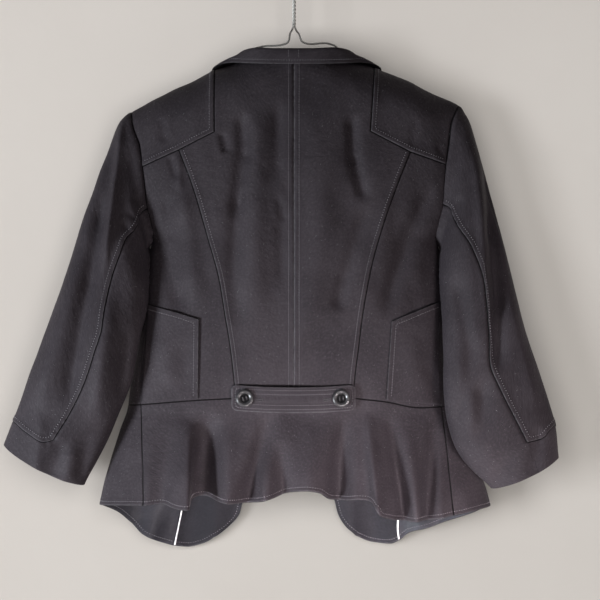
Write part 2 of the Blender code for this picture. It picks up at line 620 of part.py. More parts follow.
def peplum_panels(n=N):
    l, r = E[-1], E[1]
    waist = np.concatenate([l['waist_out'][::-1], l['waist_in'][::-1][1:], r['waist_in'][1:], r['waist_out'][1:]])
    top = halve(waist)
    hem = to_turn(along(HEM, len(top) - 1))
    hem[0], hem[-1] = l['peplum_seam'][-1], r['peplum_seam'][-1]
    Cloth('peplum_back', [straighten(surf(coons(top, hem, l['peplum_seam'], r['peplum_seam'])))], from_axis)
    for side, tag in ((-1, 'left'), (1, 'right')):
        e = E[side]
        top = halve(e['waist_front'])
        pipe = to_turn([pick(PIPING, side)[0]], side, 1)[0]
        turned = pick(FRONT_HEM, side)
        hem_pts = [tuple(e['peplum_seam'][-1])] + [h for h in turned if abs(h[0]) < abs(pipe[0]) - 3] + [tuple(pipe)]
        corner = to_turn(pick(FRONT_EDGE, side)[:1], side, 1)[0]
        rest = [tuple(pipe)] + [h for h in turned if abs(h[0]) > abs(pipe[0]) + 3] + [tuple(corner)]
        m = len(top) - 1
        hem = np.concatenate([along(hem_pts, PIPE_COLUMN), along(rest, m - PIPE_COLUMN)[1:]])
        edge = to_turn(along(pick(FRONT_EDGE, side), n['peplum'])[::-1], side, 1)
        edge[0] = e['waist_front'][-1]
        hem[-1] = edge[-1]
        g = coons(top, hem, e['peplum_seam'], edge)
        e['peplum'] = Cloth('peplum_front_' + tag, [straighten(cf_shift(surf(g), side))], from_axis)


# ------------------------------------------------------------ sleeves
def sleeve_frame(rows, t):
    """Outer point, inner point, half thickness and middle at section t (0 to 11)."""
    i = np.arange(len(rows), dtype=float)
    return [smooth_any(i, column(rows, c), t) for c in range(6)]


def smooth_any(xs, ys, x):
    p = np.stack([xs, ys], axis=1)
    x = np.clip(np.asarray(x, float), xs[0], xs[-1])
    m = np.gradient(p[:, 1], xs)
    k = np.clip(np.floor(x).astype(int), 0, len(xs) - 2)
    t = x - xs[k]
    return ((2 * t ** 3 - 3 * t ** 2 + 1) * ys[k] + (t ** 3 - 2 * t ** 2 + t) * m[k]
            + (-2 * t ** 3 + 3 * t ** 2) * ys[k + 1] + (t ** 3 - t ** 2) * m[k + 1])


def ring_of(side):
    """The armhole once round: shoulder tip, back, underarm, front; with a place from 0 to 1 for each sample."""
    e = E[side]
    back = np.concatenate([e['arm_top'], e['arm_mid'][1:], e['arm_low'][1:]])
    front = e['arm_front'][::-1]
    pts = surf(np.concatenate([back, front[1:]]))
    nb = len(back) - 1
    frame = sleeve_frame(SLEEVE_LEFT if side < 0 else SLEEVE_RIGHT, 0.0)
    o, i = np.array([frame[0], -frame[1]]), np.array([frame[2], -frame[3]])
    q = ((pts[:, [0, 2]] - o) @ (i - o)) / np.dot(i - o, i - o)
    q = np.clip(q, 0, 1)
    place = np.arccos(1 - 2 * q) / (2 * math.pi)
    place[nb + 1:] = 1 - place[nb + 1:]
    place[0], place[nb], place[-1] = 0.0, 0.5, 1.0
    return place, pts, nb


def sleeve_surface(side, place, t):
    """Place 0 is the outer edge, a quarter the back, a half the inner edge; t is the section."""
    rows = SLEEVE_LEFT if side < 0 else SLEEVE_RIGHT
    place, t = np.asarray(place, float) % 1.0, np.asarray(t, float)
    ox, od, ix, idn, thick, mid = sleeve_frame(rows, t)
    c = np.cos(2 * math.pi * place)
    s = np.sin(2 * math.pi * place)
    bulge = np.sign(s) * np.abs(s) ** 0.85
    x = (ox + ix) / 2 + (ox - ix) / 2 * c
    down = (od + idn) / 2 + (od - idn) / 2 * c
    folds = [f[1:] for f in SLEEVE_FOLDS if f[0] == side]
    lift = fold_height(folds, x, down, False)
    low = np.clip((t - 8.5) / 2.5, 0, 1)
    down = down + CUFF_DROP[0 if side < 0 else 1] * np.abs(s) ** 1.4 * low * low
    y = mid - thick * bulge - np.where(s > 0, lift * np.clip(s * 1.6, 0, 1), 0)
    oval = np.stack([x, y, -down], axis=-1)
    rp, rpts, nb = ring_of(side)
    base = np.stack([np.interp(place, rp, rpts[:, k]) for k in range(3)], axis=-1)
    o0 = sleeve_frame(rows, 0.0)
    x0 = (o0[0] + o0[2]) / 2 + (o0[0] - o0[2]) / 2 * c
    d0 = (o0[1] + o0[3]) / 2 + (o0[1] - o0[3]) / 2 * c
    y0 = o0[5] - o0[4] * bulge
    fix = base - np.stack([x0, y0, -d0], axis=-1)
    w = np.clip(1 - t / 3.2, 0, 1)[..., None]
    w = w * w * (3 - 2 * w)
    return oval + fix * w


def sleeve_place(side, points):
    """(x, down) seen on the sleeve's back to (place, t)."""
    pl = np.linspace(0.02, 0.48, 93)
    tt = np.linspace(0, 11, 221)
    gp, gt = np.meshgrid(pl, tt)
    s = sleeve_surface(side, gp, gt)
    out = []
    for x, d in points:
        k = np.argmin((s[..., 0] - x) ** 2 + (s[..., 2] + d) ** 2)
        i, j = divmod(int(k), len(pl))
        out.append((pl[j], tt[i]))
    return np.array(out)


def sleeve_panels(n=N):
    for side, tag in ((-1, 'left'), (1, 'right')):
        rp, rpts, nb = ring_of(side)
        ib = n['yoke_side'] + n['arm_mid']                 # ring sample at the back seam
        jf = nb + n['arm_low']                             # ring sample at the front seam
        seam_pts = sleeve_place(side, SLEEVE_SEAM_LEFT if side < 0 else SLEEVE_SEAM_RIGHT)
        seam = along([(rp[ib], 0.0)] + [tuple(s) for s in seam_pts], n['sleeve'])
        hem_pts = sleeve_place(side, pick(SLEEVE_HEM, side))
        hem_pts[0] = seam[-1]
        front_place = rp[jf]
        t_front = 9.6
        n_up_back = ib
        n_up_front = len(rp) - 1 - jf
        back_hem = along([tuple(h) for h in hem_pts] + [(0.0, 10.0)], n_up_back)
        back_hem[-1] = (0.0, 10.0)
        front_hem = along([(0.0, 10.0), (-0.14, 9.9), (front_place - 1, t_front)], n_up_front)
        hem = np.concatenate([front_hem[::-1], back_hem[::-1][1:]])
        ring_up = np.array([(p - 1, 0.0) for p in rp[jf:]] + [(p, 0.0) for p in rp[1:ib + 1]])
        front_line = along([(front_place - 1, 0.0), (front_place - 1, t_front)], n['sleeve'])
        g = coons(ring_up, hem, front_line, seam)
        pts = sleeve_surface(side, g[..., 0], g[..., 1])
        pts[0] = np.concatenate([rpts[jf:], rpts[1:ib + 1]])
        axis = sleeve_axis(side)
        Cloth('sleeve_%s_upper' % tag, [pts], axis, inset=SLEEVE_GAP / 2)
        # under sleeve, its lower end and the cuff band under the upper sleeve
        ring_low = np.array([(p, 0.0) for p in rp[ib:jf + 1]])
        line_f = along([(front_place, 0.0), (front_place, t_front)], n['sleeve'])
        cross = np.linspace(tuple(seam[-1]), (front_place, t_front), len(ring_low))
        g1 = coons(ring_low, cross, seam, line_f)
        p1 = sleeve_surface(side, g1[..., 0], g1[..., 1])
        p1[0] = rpts[ib:jf + 1]
        end_b = (seam[-1][0], 11.0)
        g2 = coons(cross, np.linspace(end_b, (front_place, 11.0), len(cross)),
                   along([tuple(seam[-1]), end_b], n['cuff']),
                   along([(front_place, t_front), (front_place, 11.0)], n['cuff']))
        p2 = sleeve_surface(side, g2[..., 0], g2[..., 1])
        bottom = np.array([(h[0], 11.0) for h in hem])
        bottom[-1] = end_b
        g3 = coons(hem, bottom, along([(front_place - 1, t_front), (front_place - 1, 11.0)], n['cuff']),
                   along([tuple(seam[-1]), end_b], n['cuff']))
        p3 = sleeve_surface(side, g3[..., 0], g3[..., 1])
        # the band's own end stays open at the front seam
        p3[:, 0] += (p3[:, 1] - p3[:, 0]) * 0.03
        Cloth('sleeve_%s_under' % tag, [p1, p2, p3], axis, inset=SLEEVE_GAP / 2)


def sleeve_axis(side):
    rows = SLEEVE_LEFT if side < 0 else SLEEVE_RIGHT
    xs = (column(rows, 0) + column(rows, 2)) / 2
    ds = (column(rows, 1) + column(rows, 3)) / 2
    ys = column(rows, 5)

    def axis(mid):
        d = -mid[:, 2]
        return np.stack([np.interp(d, ds, xs), np.interp(d, ds, ys), mid[:, 2]], axis=1)
    return axis


# ------------------------------------------------------------ collar and lapels
def collar_half(side, n_half=11, n_stand=2, n_fall=4):
    """Strips from the centre back to the front end: up the stand, over the fold, down the fall."""
    start = float(shoulder(side * 66.0))
    neck = [(66.0 * math.sin(a), 137.5 - (137.5 - start) * (1 - math.cos(a))) for a in np.linspace(0, math.pi / 2, 7)]
    back = [surf(to_turn([(side * x, d)], 1, -1))[0] for x, d in neck[:-1]]
    front = [surf(to_turn([(side * x, d)], side, 1))[0] for x, d in along(COLLAR_NECK, 5)]
    base = along([tuple(q) for q in back + front], n_half)
    lean = [COLLAR_LEAN * min(1.0, i / 3.0) if side > 0 else 0.0 for i in range(len(COLLAR))]
    fold = along([(side * (r[0] + k), r[1], -r[2]) for r, k in zip(COLLAR, lean)], n_half)
    edge_pts = []
    for r, k in zip(COLLAR, lean):
        face = int(r[5])
        q = surf(to_turn([(side * (r[3] + k), r[4])], side, face))[0]
        edge_pts.append((side * (r[3] + k), (q[1] if abs(q[1]) > 1 else 0.0) + face * (WALL + r[6]), -r[4]))
    edge = along(edge_pts, n_half)
    rows = []
    for k in range(n_half + 1):
        b, f, g = base[k].copy(), fold[k], edge[k]
        out = g - b
        out[2] = 0
        out = out / max(np.linalg.norm(out), 1e-6)
        ahead = min(1.0, max(0.0, (b[1] + 4) / 14))
        b = b + np.array([0, 2.4 * ahead, 2.2 - 1.0 * ahead]) - out * (0.9 + 3.2 * ahead)
        strip = [b + (f - out * 2.6 - b) * t for t in np.linspace(0, 1, n_stand + 1)[:-1]]
        strip += [f - out * 2.4 + np.array([0, 0, -0.6]), f - out * 1.0 + np.array([0, 0, 1.0]),
                  f + out * 1.2 + np.array([0, 0, 0.4])]
        first = f + out * 2.4 + np.array([0, 0, -1.6])
        bow = np.array([0, 0, 1.0]) * 1.5 + out * 1.0
        for t in np.linspace(0, 1, n_fall + 1):
            strip.append(first + (g - first) * t + bow * math.sin(math.pi * t))
        for i in range(n_stand + 3, len(strip)):
            x, y, z = strip[i]
            top = float(shoulder(x))
            face = 1 if y > 0 else -1
            if abs(y) < 9 and -z > top - 3.4:
                strip[i][2] = max(strip[i][2], -(top - 3.4))
                continue
            deep = abs(surf(to_turn([(x, -z)], side, face))[0][1])
            if -z > top - 1 and abs(y) < deep + WALL + 1.2:
                strip[i][1] = face * (deep + WALL + 1.2)
        rows.append(strip)
    return np.array(rows)


def collar_panel():
    left, right = collar_half(-1), collar_half(1)
    left[0] = right[0] = (left[0] + right[0]) / 2
    return np.concatenate([left[::-1], right[1:]])


def collar_build():
    g = collar_panel()
    # the grid runs stand, fold, fall; its outer face is the fall's outer side
    Cloth('collar', [g], lambda m: np.stack([m[:, 0] * 0, m[:, 1] * 0, m[:, 2] - 40], axis=1), wall=WALL,
          sewn=False, inset=0.0)


def lapel_build():
    for side, tag in ((-1, 'left'), (1, 'right')):
        rows = LAPEL if side > 0 else LAPEL[:-1] + [LAPEL_UNDER_END]
        roll = to_turn(along([(side * r[0], r[1]) for r in rows], 9), side, 1)
        edge = to_turn(along([(side * r[2], r[3]) for r in rows], 9), side, 1)
        top = np.linspace(roll[0], edge[0], 5)
        low = np.linspace(roll[-1], edge[-1], 5)
        g = coons(top, low, roll, edge)
        p = cf_shift(surf(g, LIFT + PATCH_WALL + 0.6), side)
        u = np.linspace(0, 1, p.shape[1])[None, :]
        p[..., 1] += 1.6 * (1 - u) ** 2
        Cloth('lapel_' + tag, [p], from_axis, wall=PATCH_WALL, sewn=False, inset=0.1)


# ------------------------------------------------------------ pieces that lie on a panel
def overlays(n=N):
    for side, tag in ((-1, 'left'), (1, 'right')):
        c = pick(PATCH, side)
        a, b, d, f = (to_turn([k])[0] for k in c)
        top = to_turn(along([c[0], c[1]], 6))
        low = to_turn(along([c[3], c[2]], 6))
        left = along([tuple(a), tuple(f)], 6)
        right = to_turn(along([c[1], c[2]], 6))
        left[0], left[-1], top[0], low[0] = a, f, a, f
        Cloth('patch_' + tag, [surf(coons(top, low, left, right), PATCH_LIFT + PATCH_WALL)], from_axis,
              wall=PATCH_WALL, sewn=False, inset=0.0)
    # facing, piping and lining inside the front peplums, made from the panel's own points
    for side, tag in ((-1, 'left'), (1, 'right')):
        c = E[side]['peplum']
        ids = c.ids[0]
        p, nrm = c.p[ids], c.n[ids]
        m, last = ids.shape[1] - 1, ids.shape[0] - 1

        def inside(rows, cols, lift):
            out = []
            for i in rows:
                i0 = min(int(i), last - 1)
                line = []
                for k in cols:
                    k0 = min(int(k), m - 1)
                    q = [(1 - (i - i0)) * ((1 - (k - k0)) * a[i0, k0] + (k - k0) * a[i0, k0 + 1])
                         + (i - i0) * ((1 - (k - k0)) * a[i0 + 1, k0] + (k - k0) * a[i0 + 1, k0 + 1])
                         for a in (p, nrm)]
                    line.append(q[0] - q[1] / np.linalg.norm(q[1]) * (WALL + lift))
                out.append(line)
            return np.array(out)
        rows = list(range(1, last)) + [last - 0.10]
        cols = [0.12] + list(range(1, PIPE_COLUMN)) + [PIPE_COLUMN - 0.17]
        Cloth('lining_' + tag, [inside(rows, cols, 0.5)], from_axis, wall=LINING_WALL, sewn=False, inset=0.0,
              shade='lining')
        cols = [PIPE_COLUMN + 0.22] + list(range(PIPE_COLUMN + 1, m)) + [m - 0.14]
        Cloth('facing_' + tag, [inside(rows, cols, 0.7)], from_axis, wall=LINING_WALL, sewn=False, inset=0.0)
        E[side]['piping'] = inside(rows, [PIPE_COLUMN], 0.55 + PIPE_R)[:, 0]


def tab_surface(u, v, out=0.0):
    """u across the tab from -1 to 1, v down it from 0 to 1."""
    x = u * TAB_HALF - 0.6
    sag = 3.2 * (1 - u ** 2)
    down = 523.0 + sag + v * TAB_HEIGHT
    q = np.stack([x, down], axis=-1)
    flat = q.reshape(-1, 2)
    base = surf(to_turn([tuple(k) for k in flat])).reshape(q.shape[:-1] + (3,))
    proud = TAB_STAND + 1.8 * (1 - u ** 2) + out
    ymin = -(41.0 * np.sqrt(np.clip(1 - (np.abs(x) / 195) ** SIDE_POWER, 0, 1)))
    base[..., 1] = ymin - proud - WALL * 0.4
    return base


def tab_build():
    corner = 5.5
    us = np.concatenate([[-1], [-1 + 2.0 / TAB_HALF * 1.0], np.linspace(-1 + corner / TAB_HALF, 1 - corner / TAB_HALF, 15),
                         [1 - 2.0 / TAB_HALF * 1.0], [1]])
    rows = []
    for u in us:
        d = (1 - abs(u)) * TAB_HALF
        cut = corner - math.sqrt(max(0.0, corner ** 2 - (corner - min(d, corner)) ** 2))
        f = cut / TAB_HEIGHT
        rows.append([tab_surface(np.array(u), np.array(v)) for v in np.linspace(f, 1 - f, 5)])
    Cloth('belt_tab', [np.array(rows)], from_axis, wall=2.2, sewn=False, inset=0.0)


# ------------------------------------------------------------ making the objects
def material(name, colour, rough, metal=0.0):
    m = bpy.data.materials.new(name)
    m.use_nodes = True
    b = next(k for k in m.node_tree.nodes if k.type == 'BSDF_PRINCIPLED')
    b.inputs['Base Color'].default_value = colour
    b.inputs['Roughness'].default_value = rough
    b.inputs['Metallic'].default_value = metal
    m.diffuse_color = colour
    return m


def make(name, verts, faces, mat):
    me = bpy.data.meshes.new(name)
    me.from_pydata([tuple(float(k) * MM for k in v) for v in verts], [], [tuple(int(i) for i in f) for f in faces])
    me.validate()
    bm = bmesh.new()
    bm.from_mesh(me)
    bmesh.ops.recalc_face_normals(bm, faces=bm.faces)
    bm.to_mesh(me)
    bm.free()
    for p in me.polygons:
        p.use_smooth = True
    ob = bpy.data.objects.new(name, me)
    me.materials.append(mat)
    bpy.context.collection.objects.link(ob)
    return ob


def tube(path, r, sides):
    """A capped round tube with a steady frame."""
    p = np.array(path, float)
    d = np.gradient(p, axis=0)
    d /= np.linalg.norm(d, axis=1)[:, None]
    up = np.array([0.0, 1.0, 0.0]) if abs(d[0][1]) < 0.9 else np.array([1.0, 0.0, 0.0])
    u = np.cross(d[0], up)
    u /= np.linalg.norm(u)
    verts, faces = [], []
    for i in range(len(p)):
        u = u - d[i] * np.dot(u, d[i])
        u /= np.linalg.norm(u)
        v = np.cross(d[i], u)
        for k in range(sides):
            a = 2 * math.pi * k / sides
            verts.append(p[i] + r * (math.cos(a) * u + math.sin(a) * v))
    for i in range(len(p) - 1):
        for k in range(sides):
            a, b = i * sides + k, i * sides + (k + 1) % sides
            faces.append([a, b, b + sides, a + sides])
    faces.append(list(range(sides))[::-1])
    faces.append([(len(p) - 1) * sides + k for k in range(sides)])
    return verts, faces


def hanger_path():
    """Hook, straight core of the twist, right arm, bottom bar, left arm, then round the core."""
    pts = []
    cz = WIRE_R - HOOK_R
    for a in np.linspace(-35, 200, 19):
        t = math.radians(a)
        pts.append((HOOK_R * math.cos(t), 0.0, cz + HOOK_R * math.sin(t)))
    pts += [(-12.5, 0.0, -30.5), (-5.6, 0.0, -36.2), (-1.0, 0.0, -41.5), (0.0, 0.0, -47.0), (0.0, 0.0, -58.0),
            (0.0, 0.0, -70.0), (0.0, 0.0, -82.0), (0.3, 0.0, -NECK_LOW)]
    right = [(5.6, -98.6), (7.8, -106.2), (9.2, -109.4), (12.5, -111.2), (43.2, -112.7), (50.4, -115.6),
             (56.0, -125.0), (60.0, -133.0), (66.0, -139.8)]
    arm = [(84.0, -148.0), (120.0, -164.8), (158.0, -183.5), (170.0, -191.0), (175.5, -196.5), (173.5, -203.0),
           (166.0, -205.6)]
    pts += [(x, 0.0, z) for x, z in right + arm]
    pts += [(x, 0.0, -205.6) for x in (110.0, 0.0, -110.0, -166.0)]
    left_arm = [(-173.5, -203.0), (-175.5, -196.5), (-170.0, -190.5), (-158.0, -184.0), (-120.0, -165.0),
                (-84.0, -149.2), (-66.0, -141.2), (-59.5, -133.0), (-54.0, -124.6), (-47.0, -118.2), (-40.8, -116.4),
                (-12.0, -113.0), (-8.4, -111.6),
                (-6.2, -108.4), (-5.4, -103.6), (-5.0, -99.0)]
    pts += [(x, 0.0, z) for x, z in left_arm]
    turns, step = 3.5, 12
    total = int(turns * step)
    r = 2 * WIRE_R + 0.35
    for i in range(total + 1):
        f = i / total
        a = math.pi + 2 * math.pi * turns * f
        pts.append((r * math.cos(a) + 0.2 * (1 - f), r * math.sin(a), -NECK_LOW + 0.5 + f * 33.0))
    return pts


def button_mesh(hole=1.15, spread=2.3, ring=24):
    """Dished round button with a rim and four holes, built as rings round a square of holes."""
    bm = bmesh.new()
    prof = [(0.0, 0.5), (5.6, 0.5), (6.6, 1.0), (8.2, 1.7), (9.6, 1.5), (10.5, 0.5), (10.3, -0.6), (8.6, -1.7),
            (0.0, -1.7)]
    prof = [(r * BUTTON_R / 10.5, z) for r, z in prof]
    rings = []
    for r, z in prof:
        if r == 0:
            rings.append([bm.verts.new((0, 0, z))])
        else:
            rings.append([bm.verts.new((r * math.cos(2 * math.pi * k / ring), r * math.sin(2 * math.pi * k / ring), z))
                          for k in range(ring)])
    for a, b in zip(rings[:-1], rings[1:]):
        for k in range(ring):
            k2 = (k + 1) % ring
            if len(a) == 1:
                bm.faces.new([a[0], b[k], b[k2]])
            elif len(b) == 1:
                bm.faces.new([a[k], b[0], a[k2]])
            else:
                bm.faces.new([a[k], b[k], b[k2], a[k2]])
    bmesh.ops.recalc_face_normals(bm, faces=bm.faces)
    return bm


def make_button(name, centre, outward, mat, turn=0.0):
    """A button whose face looks along outward; the holes are cut with four pins."""
    bm = button_mesh()
    me = bpy.data.meshes.new(name)
    bm.to_mesh(me)
    bm.free()
    ob = bpy.data.objects.new(name, me)
    bpy.context.collection.objects.link(ob)
    pins = bmesh.new()
    for sx in (-1, 1):
        for sy in (-1, 1):
            r = bmesh.ops.create_cone(pins, cap_ends=True, segments=8, radius1=1.15, radius2=1.15, depth=9.0)
            bmesh.ops.translate(pins, verts=r['verts'], vec=(sx * 2.2, sy * 2.2, 0))
    pm = bpy.data.meshes.new(name + '_holes')
    pins.to_mesh(pm)
    pins.free()
    cutter = bpy.data.objects.new(name + '_holes', pm)
    bpy.context.collection.objects.link(cutter)
    mod = ob.modifiers.new('holes', 'BOOLEAN')
    mod.operation = 'DIFFERENCE'
    mod.solver = 'EXACT'
    mod.object = cutter
    dg = bpy.context.evaluated_depsgraph_get()
    cut = bpy.data.meshes.new_from_object(ob.evaluated_get(dg))
    ob.modifiers.clear()
    bpy.data.objects.remove(cutter)
    o = np.array(outward, float)
    o /= np.linalg.norm(o)
    side = np.cross([0, 0, 1.0], o)
    side /= np.linalg.norm(side)
    up = np.cross(o, side)
    ca, sa = math.cos(turn), math.sin(turn)
    for v in cut.vertices:
        x, y, z = v.co
        x, y = ca * x - sa * y, sa * x + ca * y
        q = (np.array(centre) + side * x + up * y + o * z) * MM
        v.co = (float(q[0]), float(q[1]), float(q[2]))
    ob.data = cut
    for p in cut.polygons:
        p.use_smooth = False
    cut.materials.clear()
    cut.materials.append(mat)
    return ob


def main():
    for ob in list(bpy.data.objects):
        bpy.data.objects.remove(ob)
    mats = {'cloth': (CLOTH_COLOUR, 0.7), 'lining': (LINING_COLOUR, 0.4)}
    body_panels()
    peplum_panels()
    sleeve_panels()
    share_seams()
    collar_build()
    lapel_build()
    overlays()
    tab_build()
    for c in Cloth.every:
        v, f = c.solid()
        colour, rough = mats[c.shade]
        make(c.name, v, f, material(c.name, colour, rough))
    for side, tag in ((-1, 'left'), (1, 'right')):
        v, f = tube(E[side]['piping'], PIPE_R, 8)
        make('piping_' + tag, v, f, material('piping_' + tag, PIPING_COLOUR, 0.5))
    v, f = tube(hanger_path(), WIRE_R, 8)
    make('hanger_wire', v, f, material('hanger_wire', WIRE_COLOUR, 0.4))
    for x, tag, turn in ((-58.4, 'left', 0.3), (56.4, 'right', 0.1)):
        q = tab_surface(np.array(x / TAB_HALF), np.array(0.5))
        make_button('tab_button_' + tag, (x, q[1] - 1.7 - 1.1, q[2] + 0.5), (0.0, -1.0, 0.0),
                    material('tab_button_' + tag, BUTTON_COLOUR, 0.3), turn)
    for i, d in enumerate((356.0, 436.0, 516.0)):
        q = cf_shift(surf(to_turn([(0.0, d)], 1, 1)), 1)[0]
        make_button('front_button_%d' % (i + 1), (0.0, q[1] + 2.2, -d), (0.0, 1.0, 0.0),
                    material('front_button_%d' % (i + 1), BUTTON_COLOUR, 0.3), 0.2 * i)


main()
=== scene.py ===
# Looks for a short fitted jacket with a flared peplum, hung on a twisted wire hanger.
# The back faces -Y. Every cloth panel is rebuilt as a fine thin shell on the same surface
# as its solid, with its seams, topstitching, folds and lining, and stands for that solid.
import bpy
import bmesh
import json
import math
import numpy as np
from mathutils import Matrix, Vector
from mathutils.bvhtree import BVHTree

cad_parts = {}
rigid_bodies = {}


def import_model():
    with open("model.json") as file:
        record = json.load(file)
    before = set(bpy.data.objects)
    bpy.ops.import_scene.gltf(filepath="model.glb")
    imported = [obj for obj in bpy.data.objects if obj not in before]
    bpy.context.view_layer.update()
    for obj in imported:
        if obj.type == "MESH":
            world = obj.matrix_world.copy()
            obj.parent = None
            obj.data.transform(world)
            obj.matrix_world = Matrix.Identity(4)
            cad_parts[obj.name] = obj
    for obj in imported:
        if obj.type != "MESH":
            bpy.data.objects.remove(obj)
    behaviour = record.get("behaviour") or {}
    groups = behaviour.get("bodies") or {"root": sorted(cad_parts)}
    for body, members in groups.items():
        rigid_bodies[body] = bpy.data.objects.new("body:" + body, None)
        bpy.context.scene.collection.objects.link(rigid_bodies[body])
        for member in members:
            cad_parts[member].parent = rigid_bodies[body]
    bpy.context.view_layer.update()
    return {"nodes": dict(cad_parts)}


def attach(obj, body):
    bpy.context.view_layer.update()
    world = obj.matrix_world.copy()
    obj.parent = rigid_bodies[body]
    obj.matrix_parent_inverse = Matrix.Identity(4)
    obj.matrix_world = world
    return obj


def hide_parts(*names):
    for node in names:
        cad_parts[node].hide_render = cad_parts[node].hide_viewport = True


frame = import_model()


def ramp(n, k=0.45):
    """n steps from 0 to 1, closer together at both ends, where the seams are."""
    s = np.linspace(0, 1, n + 1)
    return s - k * np.sin(2 * math.pi * s) / (2 * math.pi)


# ------------------------------------------------------------ sizes, in mm
MM = 0.001
WALL = 1.5            # shell cloth with its fusing
PATCH_WALL = 1.2      # pieces laid on the shell
LINING_WALL = 1.0
PIPE_R = 1.05
SEAM_GAP = 0.34       # between neighbouring pieces
SLEEVE_GAP = 1.2      # round the armhole, where the walls turn sharply
LIFT = 0.4            # between a panel and what lies on it
PATCH_LIFT = 0.9      # a patch is stiff and bridges the panel's small bends
SHOULDER_ROLL = 45.0  # how far the cloth rolls over the shoulder
SIDE_POWER = 2.6      # flatness of the back across the body
WIRE_R = 1.2
HOOK_R = 18.0
NECK_TOP = 46.0       # where the hook's wire enters the twist
NECK_LOW = 93.6       # where the arms leave the twist
BUTTON_R = 10.5
BUTTON_H = 3.4
TAB_HALF = 73.8
TAB_HEIGHT = 30.6
TAB_STAND = 3.4       # how proud the tab stands off the waist
OVERLAP = 14.0        # right front laps over left

# segments along each edge; neighbours share the same samples
N = dict(shoulder_outer=52, shoulder_inner=10, neck=20, yoke_side=28, yoke_low_in=16, yoke_low_out=36,
         arm_mid=15, arm_low=15, side=62, rows=92, peplum=52, sleeve=110, cuff=16)

# ------------------------------------------------------------ tables
# the body's section at each height
TORSO = [  # down, half_left, half_right, back_depth, front_depth
    (95.0, 222.0, 222.0, 30.0, 28.0),
    (144.0, 220.0, 220.0, 35.0, 32.0),
    (195.6, 216.0, 216.0, 41.0, 38.0),
    (213.6, 214.0, 211.0, 42.0, 40.0),
    (235.2, 209.0, 209.0, 43.0, 42.0),
    (260.4, 203.0, 204.0, 45.0, 44.0),
    (285.6, 196.0, 199.0, 46.0, 46.0),
    (312.0, 190.0, 193.0, 46.0, 47.0),
    (330.0, 182.0, 184.0, 46.0, 47.5),
    (350.4, 172.0, 173.0, 46.0, 48.0),
    (366.0, 175.0, 175.5, 46.0, 48.0),
    (384.0, 176.8, 176.8, 46.0, 48.0),
    (422.4, 181.5, 180.5, 46.0, 47.0),
    (482.4, 190.0, 184.5, 44.0, 44.5),
    (520.8, 196.5, 188.5, 42.0, 43.0),
    (547.2, 200.0, 192.0, 41.0, 42.5),
    (555.6, 201.5, 194.0, 41.0, 43.0),
    (578.4, 210.0, 205.0, 45.0, 47.0),
    (610.8, 220.0, 217.0, 52.0, 54.0),
    (652.8, 232.0, 233.0, 60.0, 62.0),
    (672.0, 235.5, 236.5, 63.0, 66.0),
    (735.0, 240.0, 240.0, 69.0, 72.0),
]
SHOULDER_LINE = [  # x, down
    (-240.0, 223.0), (-196.2, 195.6), (-182.4, 187.2), (-154.8, 172.8), (-123.6, 158.4), (-96.0, 144.2),
    (-66.0, 134.0), (0.0, 104.0), (66.0, 132.5), (97.0, 141.4), (136.8, 157.6), (168.0, 172.8),
    (198.6, 188.0), (240.0, 212.0),
]
ARMHOLE = [  # left_x, left_down, right_x, right_down; the rest curves to the underarm
    (-196.2, 195.6, 198.6, 188.0),
    (-193.7, 213.6, 189.6, 208.8),
    (-186.0, 235.2, 186.0, 234.0),
    (-181.9, 260.4, 182.4, 260.0),
    (-179.4, 285.6, 180.5, 285.0),
    (-176.9, 312.0, 180.0, 307.2),
]
UNDERARM = 350.4
PRINCESS = [  # left_x, left_down, right_x, right_down
    (-137.3, 243.0, 139.0, 245.4),
    (-121.6, 284.4, 121.0, 291.0),
    (-103.9, 343.2, 106.4, 332.4),
    (-90.0, 392.4, 92.4, 381.6),
    (-81.1, 445.2, 80.9, 445.2),
    (-76.9, 470.0, 77.8, 470.4),
    (-70.8, 520.8, 71.6, 522.0),
    (-69.2, 539.6, 70.3, 539.4),
]
YOKE_LOW = [  # left_x, left_down, right_x, right_down; inner corner, princess seam, armhole
    (-95.2, 222.0, 91.4, 221.4),
    (-137.3, 243.0, 139.0, 245.4),
    (-181.9, 262.5, 182.4, 260.0),
]
SIDE_SEAM = [  # left_x, left_down, right_x, right_down, from the underarm to the waist
    (-174.5, 422.4, 174.4, 422.4),
    (-181.5, 482.4, 177.0, 482.4),
    (-187.0, 520.8, 181.0, 520.8),
    (-183.6, 548.0, 177.0, 550.4),
]
WAIST = [  # left_x, left_down, right_x, right_down, from the centre to the side seam
    (0.0, 538.8, 0.0, 538.8),
    (-69.2, 539.6, 70.3, 539.4),
    (-114.0, 541.9, 112.8, 544.4),
    (-141.6, 544.1, 146.4, 551.0),
    (-183.6, 548.0, 177.0, 550.4),
]
HEM = [  # x, down, back peplum from the left seam to the right
    (-179.0, 667.0), (-151.2, 665.6), (-140.8, 669.8), (-128.8, 669.8), (-120.6, 662.4), (-106.3, 657.4),
    (-92.1, 661.1), (-61.9, 663.4), (-30.6, 658.7), (-2.3, 649.8), (20.2, 648.0), (32.0, 650.5),
    (42.5, 658.4), (57.2, 660.7), (78.1, 658.8), (94.7, 662.3), (103.5, 676.0), (114.4, 681.2),
    (136.0, 685.2), (163.6, 683.1), (190.2, 679.0),
]
PEPLUM_SEAM = [  # left_x, left_down, right_x, right_down
    (-183.6, 548.0, 177.0, 550.4),
    (-182.0, 590.0, 180.5, 580.0),
    (-179.0, 667.0, 190.2, 679.0),
]
